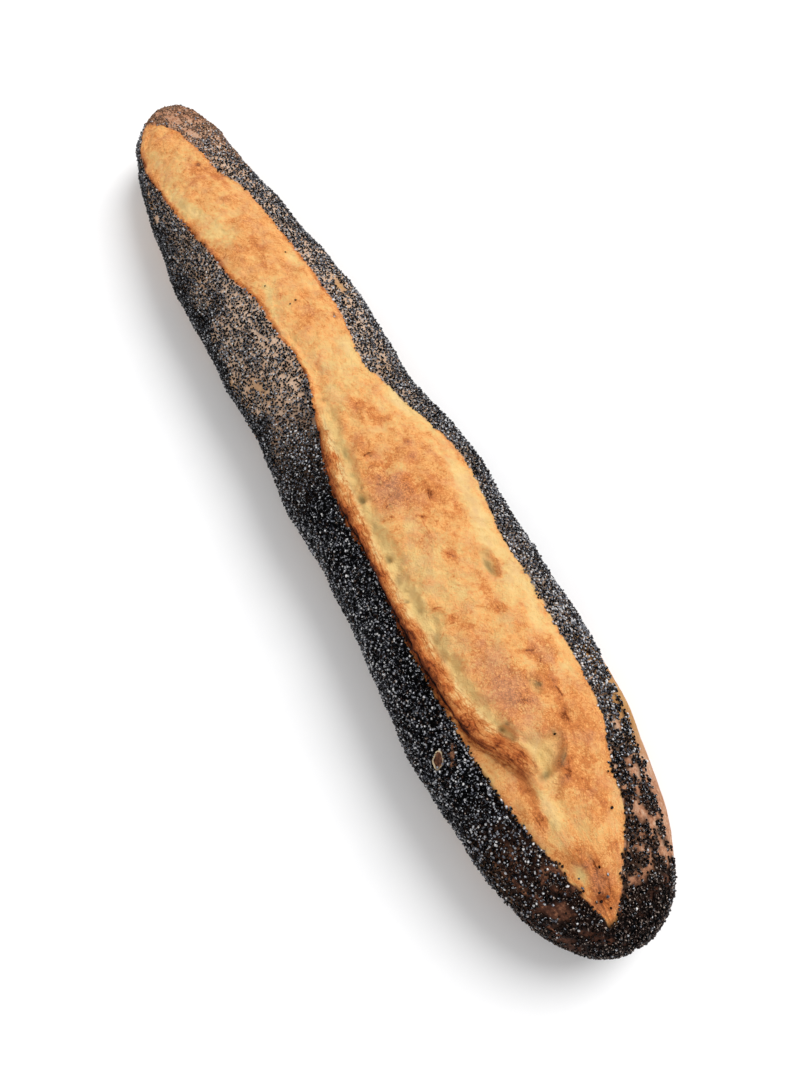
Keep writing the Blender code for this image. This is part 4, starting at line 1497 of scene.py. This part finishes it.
        # painted highlight and shade: the light curves choose lighter grains where the key light falls
        light = self.light.at(station, left) + slow * self.drift.at(points) + quick * self.clump.at(points)
        light = light - self.along_margin(station, np.degrees(angle), points)
        count = len(station)
        lottery = draw.uniform(0, 1, count) ** np.exp(-light)
        baked = (draw.uniform(0, 1, count) < self.baked.at(station)) & ~left
        burnt = (draw.uniform(0, 1, count) < self.burnt.at(station)) & ~baked
        chosen, low = {}, 0.0
        for kind in SeedKind:
            drawn = (lottery >= low) & (lottery < low + kind.share + 1e-9) & ~baked & ~burnt
            chosen[kind] = drawn | (baked if kind is SeedKind.BAKED else burnt & (kind is SeedKind.BROWN))
            low += kind.share
        return chosen

    def build(self) -> list[Piece]:
        """Make one piece for each colour of grain.

        Returns:
            The pieces, in the order of the kinds.
        """
        draw = np.random.default_rng(self.draw)
        station, angle, lift = self.piled(*self.places(draw), draw)
        points = self.shapes(station, angle, lift, draw)
        shade = draw.uniform(0, 1, len(station))
        template, faces = self.grain()
        pieces = []
        for kind, chosen in self.kinds(station, angle, draw).items():
            number = int(chosen.sum())
            own = self.surface.loaf.placed(points[chosen].reshape(-1, 3))
            own_faces = (np.arange(number)[:, None, None] * len(template) + faces[None]).reshape(-1, 3)
            piece = mesh_object(kind.piece, own, own_faces)
            paint(piece, "shade", np.repeat(shade[chosen], len(template)))
            log.info("%s: %d grains, %d triangles", kind.piece, number, len(own_faces))
            pieces.append(piece)
        return pieces


@dataclass
class Blister:
    """The thin pale rim that a burst blister left in the shell."""

    surface: CrustSurface
    place: Patch
    name: str = "blister_rim"
    thickness: float = 0.20
    depth: float = 2.0  # its depth as a multiple of its thickness
    lift: float = 0.3
    unevenness: Pair = (0.22, 0.35)  # how uneven its outline and its thickness are
    turns: int = 40
    sides: int = 8
    wobble: Noise = Noise(2.6, 97, 2)

    def build(self) -> Piece:
        """Bend a thin uneven ring over the shell.

        Returns:
            The rim.
        """
        turn = np.linspace(0, 2 * math.pi, self.turns, endpoint=False)
        ring = np.stack([np.cos(turn), np.sin(turn), 0 * turn], axis=1)
        reach = 1 + self.unevenness[0] * self.wobble.at(4 * ring)
        along = self.place.half_length * reach * ring[:, 0]
        across = self.place.half_width * reach * ring[:, 1]
        forward, sideways = turned(along, across, -self.place.turn)
        station, side = self.place.station + forward, self.place.side + sideways
        angle = self.surface.loaf.angle_of(station, side)
        centre = self.surface.points(station, angle)
        up = self.surface.loaf.outward(station, angle)
        sideways = unit(np.cross(np.roll(centre, -1, axis=0) - np.roll(centre, 1, axis=0), up))
        thick = self.thickness * (1 + self.unevenness[1] * self.wobble.at(6 * ring + 30))
        round_it = np.linspace(0, 2 * math.pi, self.sides, endpoint=False)[None, :, None]
        tube = np.cos(round_it) * sideways[:, None] + self.depth * np.sin(round_it) * up[:, None]
        points = centre[:, None] + self.lift * up[:, None] + thick[:, None, None] * tube
        here = np.arange(self.turns)[:, None] * self.sides
        following = (np.arange(self.turns)[:, None] + 1) % self.turns * self.sides
        near, far = np.arange(self.sides)[None], (np.arange(self.sides)[None] + 1) % self.sides
        faces = np.stack([here + near, here + far, following + far, following + near], axis=-1)
        points = self.surface.loaf.placed(points.reshape(-1, 3))
        return mesh_object(self.name, points, faces.reshape(-1, 4))


# ---------------- finishes

@dataclass(frozen=True)
class Sheet:
    """A node tree under construction, with short ways to add and join nodes."""

    tree: bpy.types.NodeTree

    def feed(self, node: Node, inputs: dict[str | int, object]) -> Node:
        """Give a node its inputs.

        Args:
            node: the node.
            inputs: values or output sockets for its inputs, by name or number.

        Returns:
            The same node.
        """
        for name, value in inputs.items():
            if isinstance(value, Socket):
                self.tree.links.new(value, node.inputs[name])
            else:
                node.inputs[name].default_value = value
        return node

    def add(self, kind: str, inputs: dict[str | int, object] | None = None,
            **settings: object) -> Node:
        """Add a node.

        Args:
            kind: the node's type, such as ShaderNodeMath.
            inputs: values or output sockets for its inputs, by name or number.
            settings: its own settings.

        Returns:
            The node.
        """
        node = self.tree.nodes.new(kind)
        for name, value in settings.items():
            setattr(node, name, value)
        return self.feed(node, inputs or {})

    def place(self) -> Socket:
        """Place on the piece, in its own frame."""
        return self.add("ShaderNodeTexCoord").outputs["Object"]

    def read(self, name: str) -> Socket:
        """The number that is painted on the piece under a name."""
        return self.add("ShaderNodeAttribute", attribute_name=name).outputs["Fac"]

    def maths(self, operation: str, first: Socket, second: Socket | float = 0.0) -> Socket:
        """Work out one value from one or two others."""
        return self.add("ShaderNodeMath", {0: first, 1: second}, operation=operation).outputs[0]

    def sum(self, *parts: Socket | float) -> Socket:
        """Add several values.

        Args:
            parts: output sockets and numbers, with a socket first.

        Returns:
            The output socket of their sum.
        """
        total = parts[0]
        for part in parts[1:]:
            total = self.maths("ADD", total, part)
        return total

    def times(self, first: Socket, second: Socket | float) -> Socket:
        """Multiply two values."""
        return self.maths("MULTIPLY", first, second)

    def stretch(self, value: Socket, low: float, high: float,
                start: float = 0.0, end: float = 1.0) -> Socket:
        """Spread the values between low and high over start to end, and hold those beyond."""
        node = self.add("ShaderNodeMapRange", {0: value, 1: low, 2: high, 3: start, 4: end})
        return node.outputs[0]

    def noise(self, place: Socket, size: Socket | float, **details: float) -> Socket:
        """Cloudy values of about 0.5 at places, finer for a larger size."""
        inputs = {"Vector": place, "Scale": size, **details}
        return self.add("ShaderNodeTexNoise", inputs).outputs["Fac"]

    def near_half(self, value: Socket, width: float, core: float = 0.0) -> Socket:
        """1 where a value is within a core of 0.5, falling to 0 at a width."""
        away = self.maths("ABSOLUTE", self.sum(value, -0.5))
        return self.stretch(away, core, width, 1.0, 0.0)

    def mix(self, share: Socket | float, first: object, second: object) -> Socket:
        """Mix two colours by a share from 0 to 1."""
        node = self.add("ShaderNodeMix", {0: share, 6: first, 7: second}, data_type="RGBA")
        return node.outputs[2]

    def shades(self, value: Socket, stops: Shades) -> Socket:
        """Turn a value from 0 to 1 into a colour that runs through stops.

        Args:
            value: the value's output socket.
            stops: the colours and their places.

        Returns:
            The colour's output socket.
        """
        node = self.add("ShaderNodeValToRGB", {0: value})
        band = node.color_ramp.elements
        band[0].position, band[0].color = stops[0]
        band[1].position, band[1].color = stops[-1]
        for place, colour in stops[1:-1]:
            band.new(place).color = colour
        return node.outputs[0]

    def bump(self, height: Socket, distance: float, strength: float = 1.0) -> Socket:
        """The directions of a surface with fine bumps."""
        node = self.add("ShaderNodeBump", {"Height": height, "Strength": strength, "Distance": distance})
        return node.outputs[0]


def new_group(name: str, takes: tuple[str, ...], gives: tuple[str, ...]) -> tuple[Sheet, Node]:
    """Start a shader node group.

    Args:
        name: its name.
        takes: names of the numbers that it takes.
        gives: names of the numbers that it gives.

    Returns:
        Its sheet, and the node that holds what it takes.
    """
    tree = bpy.data.node_groups.new(name, "ShaderNodeTree")
    for in_out, names in (("INPUT", takes), ("OUTPUT", gives)):
        for socket in names:
            tree.interface.new_socket(socket, in_out=in_out, socket_type="NodeSocketFloat")
    sheet = Sheet(tree)
    return sheet, sheet.add("NodeGroupInput")


@cache
def fleck_group() -> bpy.types.NodeTree:
    """Soft speckle around 0, for baked crust, seeds and the table alike.

    Returns:
        The group, which takes a size and a strength.
    """
    sheet, given = new_group("fine_flecks", ("Size", "Strength"), ("Flecks",))
    cloud = sheet.noise(sheet.place(), given.outputs["Size"], Detail=4.0, Roughness=0.65)
    sheet.add("NodeGroupOutput", {0: sheet.times(sheet.sum(cloud, -0.5), given.outputs["Strength"])})
    return sheet.tree


def flecks(sheet: Sheet, *kinds: Pair) -> Socket:
    """Add up speckle of several kinds, each given by its own size and strength.

    Args:
        sheet: the material's node tree.
        kinds: pairs of size and strength.

    Returns:
        The output socket of their sum.
    """
    nodes = [sheet.add("ShaderNodeGroup", {"Size": size, "Strength": strength}, node_tree=fleck_group())
             for size, strength in kinds]
    return sheet.sum(*(node.outputs[0] for node in nodes))


@cache
def crease_group() -> bpy.types.NodeTree:
    """Thin broken arcs, as where a film of crumb has lifted: 1 on an arc and 0 elsewhere. The crust is
    darkened on them, partly as painted shade under the lifted edges.

    Returns:
        The group.
    """
    sheet, _ = new_group("crumb_creases", (), ("Creases",))
    place = sheet.place()
    swell = sheet.noise(place, 120.0, Detail=2.5, Roughness=0.5, Distortion=0.5)
    step = sheet.maths("FRACT", sheet.times(swell, 13.0))
    there = sheet.stretch(sheet.noise(place, 210.0, Detail=2.0), 0.50, 0.60)
    sheet.add("NodeGroupOutput", {0: sheet.times(sheet.stretch(step, 0.80, 0.98), there)})
    return sheet.tree


@cache
def thread_group() -> bpy.types.NodeTree:
    """Thin threads that wander over the crumb: 1 on a thread and 0 elsewhere.

    Returns:
        The group.
    """
    sheet, _ = new_group("crumb_threads", (), ("Threads",))
    place = sheet.place()
    lines = [sheet.near_half(sheet.noise(place, size, Detail=2.0, Distortion=1.8), 0.07, 0.012)
             for size in (230.0, 340.0, 500.0)]
    sheet.add("NodeGroupOutput", {0: sheet.maths("MINIMUM", sheet.sum(*lines), 1.3)})
    return sheet.tree


@cache
def strand_group() -> bpy.types.NodeTree:
    """Torn strands along the lip: uneven shades around 0, and thin dark lines of 0 to 1.

    Returns:
        The group, which takes the place across the lip.
    """
    sheet, given = new_group("lip_strands", ("Across",), ("Shades", "Lines"))
    along = sheet.add("ShaderNodeSeparateXYZ", {0: sheet.place()}).outputs["X"]
    across = sheet.times(given.outputs["Across"], 3.0)
    spot = sheet.add("ShaderNodeCombineXYZ", {0: sheet.times(along, 170.0), 1: across}).outputs[0]
    uneven = sheet.noise(spot, 1.0, Detail=5.0, Roughness=0.7, Distortion=0.8)
    swell = sheet.noise(spot, 0.7, Detail=2.5, Distortion=1.0)
    sheet.add("NodeGroupOutput", {0: sheet.sum(uneven, -0.5), 1: sheet.near_half(swell, 0.045)})
    return sheet.tree


def new_material(name: str) -> tuple[bpy.types.Material, Sheet, Node]:
    """Start a material.

    Args:
        name: its name.

    Returns:
        The material, its sheet and its shader.
    """
    material = bpy.data.materials.new(name)
    material.use_nodes = True
    sheet = Sheet(material.node_tree)
    return material, sheet, material.node_tree.nodes["Principled BSDF"]


@dataclass(frozen=True)
class CrustFinish:
    """Baked crust: pale to scorched where it burst, tan to brown on the shell and the base."""

    torn: Shades = (
        (0.0, linear(252, 216, 150)), (0.22, linear(250, 207, 135)), (0.42, linear(252, 181, 109)),
        (0.60, linear(230, 145, 80)), (0.80, linear(208, 122, 66)), (1.0, linear(134, 68, 32)))
    scorched: Shades = (
        (0.0, linear(250, 214, 150)), (0.2, linear(230, 158, 92)), (0.42, linear(204, 116, 60)),
        (0.64, linear(154, 78, 40)), (0.84, linear(96, 44, 24)), (1.0, linear(30, 12, 8)))
    smooth: Shades = (
        (0.0, linear(244, 216, 192)), (0.3, linear(222, 185, 156)), (0.55, linear(192, 134, 100)),
        (0.78, linear(100, 62, 46)), (1.0, linear(36, 23, 19)))
    cream: Colour = linear(240, 208, 138)
    # olive of the pits: partly grey-green crumb, partly painted shade
    olive_and_pit_shade: Colour = linear(146, 128, 86)
    blush: Colour = linear(228, 164, 124)
    # near black between thick seeds: painted shade, and lower seeds
    undercoat_and_shade: Colour = linear(5, 4, 5)
    base_golden: Colour = linear(212, 164, 106)
    base_brown: Colour = linear(172, 114, 66)
    raw_share: float = 0.75
    pit_shade_share: float = 0.8
    blush_share: float = 0.7
    # how much darker the creases are: partly browned edges, partly painted shade
    crease_tone: float = 0.34
    thread_tone: float = 0.34
    strand_tone: float = 0.8
    line_tone: float = 0.22
    # how dark the line at the lip's foot is: partly char, partly painted shade in its crevice
    char_and_crevice_shade_tone: float = 0.24
    shine: float = 0.08
    bump_depth: float = 0.0009

    def crumb(self, sheet: Sheet, creases: Socket, threads: Socket) -> Socket:
        """Colour of the torn crumb, from pale to scorched.

        Args:
            sheet: the material's node tree.
            creases: the mask of thin arcs, darker partly as browned edges and partly as painted shade
                under them.
            threads: the mask of thin wrinkles, which are a little darker.

        Returns:
            The colour.
        """
        coarse = sheet.stretch(sheet.read("bake"), 0.28, 0.46, 0.2, 0.8)
        dots = sheet.maths("MINIMUM", flecks(sheet, (2200.0, 1.2)), 0.08)
        wrinkles = sheet.times(threads, self.thread_tone)
        grain = sheet.sum(dots, flecks(sheet, (1000.0, 0.9)), wrinkles, -0.16)
        finer = sheet.sum(sheet.times(sheet.read("rosy"), 0.9), 0.55)
        grain = sheet.times(sheet.times(grain, coarse), finer)
        bake = sheet.sum(sheet.read("bake"), flecks(sheet, (420.0, 0.24)), grain,
                         sheet.times(creases, self.crease_tone))
        crumb = sheet.shades(bake, self.torn)
        rosy = sheet.sum(flecks(sheet, (130.0, 1.0)), sheet.times(sheet.read("rosy"), 0.3))
        rosy = sheet.stretch(rosy, -0.02, 0.3, 0.0, 0.8)
        crumb = sheet.mix(rosy, crumb, sheet.mix(self.blush_share, crumb, self.blush))
        crumb = sheet.mix(sheet.times(sheet.read("raw"), self.raw_share), crumb, self.cream)
        # painted shade: the pits turn olive, partly grey-green crumb and partly shade in them
        return sheet.mix(sheet.times(sheet.read("pit"), self.pit_shade_share), crumb, self.olive_and_pit_shade)

    def lip(self, sheet: Sheet, strands: Node) -> Socket:
        """Colour of the lip, from its pale inner edge to its charred foot.

        Args:
            sheet: the material's node tree.
            strands: the node that gives the strands' shades and lines.

        Returns:
            The colour.
        """
        wander = sheet.sum(sheet.read("outer"), flecks(sheet, (160.0, 1.3)), 1.0)
        # painted shade: a near-black line at the lip's foot, partly char and partly shade in the crevice
        char_and_crevice_shade = sheet.stretch(sheet.maths("ABSOLUTE", wander), 0.02, 0.20, 1.0, 0.0)
        shade = sheet.sum(sheet.read("scorch"), sheet.times(strands.outputs["Shades"], self.strand_tone),
                          sheet.times(strands.outputs["Lines"], self.line_tone),
                          flecks(sheet, (1500.0, 0.7)),
                          sheet.times(sheet.times(char_and_crevice_shade, sheet.read("char_and_crevice_shade")), self.char_and_crevice_shade_tone))
        return sheet.shades(shade, self.scorched)

    def shell(self, sheet: Sheet) -> Socket:
        """Colour of the shell: tan where it shows, and painted nearly black between thick seeds, as shade
        and lower seeds.

        Args:
            sheet: the material's node tree.

        Returns:
            The colour.
        """
        tan = sheet.sum(sheet.read("tan"), flecks(sheet, (160.0, 0.6), (900.0, 0.8)))
        bare = sheet.shades(tan, self.smooth)
        toast = sheet.sum(flecks(sheet, (120.0, 1.6), (700.0, 1.4)), 0.45)
        base = sheet.mix(toast, self.base_golden, self.base_brown)
        bare = sheet.mix(sheet.read("underside"), bare, base)
        # painted shade: nearly black between the grains of a thick coat, also standing in for lower seeds
        return sheet.mix(sheet.read("gap_shade_and_undercoat"), bare, self.undercoat_and_shade)

    def material(self) -> bpy.types.Material:
        """Build the material.

        Returns:
            The material.
        """
        material, sheet, shader = new_material("baked_crust")
        torn = sheet.read("torn")
        arcs = sheet.times(sheet.add("ShaderNodeGroup", node_tree=crease_group()).outputs[0], 0.5)
        away = sheet.maths("ABSOLUTE", sheet.sum(sheet.read("crease"), flecks(sheet, (600.0, 0.5))))
        mark = sheet.stretch(away, 0.1, 0.42, 1.0, 0.0)
        creases = sheet.times(sheet.sum(arcs, sheet.times(mark, sheet.read("creased"))), torn)
        strands = sheet.add("ShaderNodeGroup", {0: sheet.read("outer")}, node_tree=strand_group())
        threads = sheet.add("ShaderNodeGroup", node_tree=thread_group()).outputs[0]
        crumb = sheet.mix(sheet.read("lip"), self.crumb(sheet, creases, threads), self.lip(sheet, strands))
        lines = sheet.times(strands.outputs["Lines"], -0.4)
        torn_lip = sheet.times(sheet.sum(strands.outputs["Shades"], lines), sheet.read("lip"))
        grit = sheet.sum(flecks(sheet, (700.0, 1.0), (2000.0, 0.8)), sheet.times(creases, -0.25),
                         sheet.times(sheet.times(threads, torn), -0.07), torn_lip)
        sheet.feed(shader, {"Base Color": sheet.mix(torn, self.shell(sheet), crumb),
                            "Roughness": sheet.sum(flecks(sheet, (700.0, 0.3)), 0.7),
                            "Specular IOR Level": self.shine,
                            "Normal": sheet.bump(grit, self.bump_depth)})
        return material


@dataclass(frozen=True)
class PlainFinish:
    """A dull surface of two colours that run into each other in flecks."""

    name: str
    first: Colour
    second: Colour
    speckle: Pair
    balance: float  # share of the second colour, on average
    roughness: float

    def material(self) -> bpy.types.Material:
        """Build the material.

        Returns:
            The material.
        """
        material, sheet, shader = new_material(self.name)
        share = sheet.sum(flecks(sheet, self.speckle), self.balance)
        colour = sheet.shades(share, ((0.0, self.first), (1.0, self.second)))
        sheet.feed(shader, {"Base Color": colour, "Roughness": self.roughness})
        return material


RIM_FINISH = PlainFinish(
    "dry_rim", linear(236, 214, 178), linear(120, 92, 58), (350.0, 3.6), 0.45, 0.7)
TABLE_FINISH = PlainFinish(
    "pale_table", linear(246, 246, 247), linear(250, 250, 250), (60.0, 1.0), 0.5, 0.9)


@dataclass(frozen=True)
class SeedFinish:
    """Poppy seeds: a dark skin, more or less hidden by a lighter bloom in its pits; the bloom's bright
    flecks also serve as painted glints.
    """

    dark: Colour
    light: Colour
    bloom_and_glints: Colour = linear(226, 228, 234)
    roughness: float = 0.25
    shine: float = 0.22
    # flecks that lift parts of a grain to its bloom colour: the seeds' grey bloom and painted glints
    speckle: Pair = (1700.0, 3.8)
    pits: Pair = (4200.0, 1.0)
    bump_depth: float = 0.0002

    def material(self, name: str) -> bpy.types.Material:
        """Build the material.

        Args:
            name: its name.

        Returns:
            The material.
        """
        material, sheet, shader = new_material(name)
        share = sheet.sum(sheet.times(sheet.read("shade"), 0.5), flecks(sheet, self.speckle), 0.03)
        stops = ((0.0, self.dark), (0.62, self.light), (0.84, self.bloom_and_glints), (1.0, self.bloom_and_glints))
        sheet.feed(shader, {"Base Color": sheet.shades(share, stops), "Roughness": self.roughness,
                            "Specular IOR Level": self.shine,
                            "Normal": sheet.bump(flecks(sheet, self.pits), self.bump_depth, 0.8)})
        return material


SEED_FINISHES = {
    SeedKind.BLACK: SeedFinish(linear(0, 0, 1), linear(6, 6, 8), shine=0.03),
    SeedKind.BLUE: SeedFinish(linear(2, 3, 6), linear(22, 25, 36), shine=0.10),
    SeedKind.BROWN: SeedFinish(linear(9, 4, 3), linear(56, 37, 31), linear(190, 174, 162), shine=0.08),
    SeedKind.SLATE: SeedFinish(linear(42, 44, 52), linear(138, 140, 150)),
    # pale grains: partly pale seeds, partly painted glints
    SeedKind.PALE: SeedFinish(linear(172, 172, 177), linear(246, 244, 243), linear(252, 250, 248), 0.5),
    SeedKind.BAKED: SeedFinish(linear(104, 74, 56), linear(166, 126, 96), linear(196, 160, 128), 0.5),
}


# ---------------- studio

@dataclass
class Studio:
    """Table, soft light and a camera that looks down on the loaf as the photograph does."""

    camera_place: Triple = (0.2061, -0.0738, 0.3068)
    camera_aim: Triple = (-0.4202, 0.2152, -0.8815)
    focal_share: float = 800 / 1080  # focal length as a share of the frame's height
    sensor: float = 36.0
    floor_half: float = 1.6
    key_place: Triple = (-0.10, 0.75, 0.90)
    key_spread: float = 0.7  # angle over which the key light is spread
    key_power: float = 2.36
    fill_place: Triple = (0.5, -0.9, 0.9)
    fill_spread: float = 1.2
    fill_power: float = 0.52
    sky_strength: float = 0.55

    def camera(self) -> None:
        """Stand the camera over the blunt end, aimed along the loaf."""
        lens = bpy.data.cameras.new("camera")
        lens.sensor_width = self.sensor
        lens.lens = self.sensor * self.focal_share
        lens.clip_start = 0.01
        camera = bpy.data.objects.new("camera", lens)
        camera.location = self.camera_place
        camera.rotation_euler = Vector(self.camera_aim).to_track_quat("-Z", "Y").to_euler()
        bpy.context.scene.collection.objects.link(camera)
        bpy.context.scene.camera = camera

    def lamp(self, name: str, place: Triple, spread: float, power: float) -> None:
        """Hang a soft far lamp that points at the loaf.

        Args:
            name: the lamp's name.
            place: the side that its light comes from.
            spread: the angle over which its light is spread, in radians.
            power: its strength in watts a square metre.
        """
        light = bpy.data.lights.new(name, "SUN")
        light.angle = spread
        light.energy = power
        lamp = bpy.data.objects.new(name, light)
        lamp.location = place
        lamp.rotation_euler = (-Vector(place)).to_track_quat("-Z", "Y").to_euler()
        bpy.context.scene.collection.objects.link(lamp)

    def sky(self) -> None:
        """Even white light from all round, shown in its plain colours."""
        world = bpy.data.worlds.new("sky")
        world.use_nodes = True
        background = world.node_tree.nodes["Background"]
        background.inputs["Color"].default_value = (1.0, 1.0, 1.0, 1.0)
        background.inputs["Strength"].default_value = self.sky_strength
        bpy.context.scene.world = world
        bpy.context.scene.view_settings.view_transform = "Standard"

    def build(self) -> None:
        """Set the table, hang the lamps and place the camera."""
        half = self.floor_half
        corners = np.array([(-half, -half, 0), (half, -half, 0), (half, half, 0), (-half, half, 0)])
        floor = mesh_object("table", corners, np.array([[0, 1, 2, 3]]), smooth=False)
        floor.data.materials.append(TABLE_FINISH.material())
        self.lamp("key_light", self.key_place, self.key_spread, self.key_power)
        self.lamp("fill_light", self.fill_place, self.fill_spread, self.fill_power)
        self.sky()
        self.camera()


def main() -> None:
    """Build the crust, its coat of seeds and the studio."""
    logging.basicConfig(level=logging.INFO, format="%(message)s")
    surface = CrustSurface()
    coat = SeedCoat(surface)
    crust = CrustPiece(surface).build(coat)
    crust.data.materials.append(CrustFinish().material())
    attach(crust, "root")
    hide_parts(LOAF_NODE)
    log.info("crust: %d triangles", sum(len(face.vertices) - 2 for face in crust.data.polygons))
    rim = Blister(surface, Baking.blister).build()
    rim.data.materials.append(RIM_FINISH.material())
    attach(rim, "root")
    log.info("blister rim: %d faces", len(rim.data.polygons))
    for kind, piece in zip(SeedKind, coat.build()):
        piece.data.materials.append(SEED_FINISHES[kind].material(kind.piece))
        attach(piece, "root")
    Studio().build()


if __name__ == "__main__":
    main()
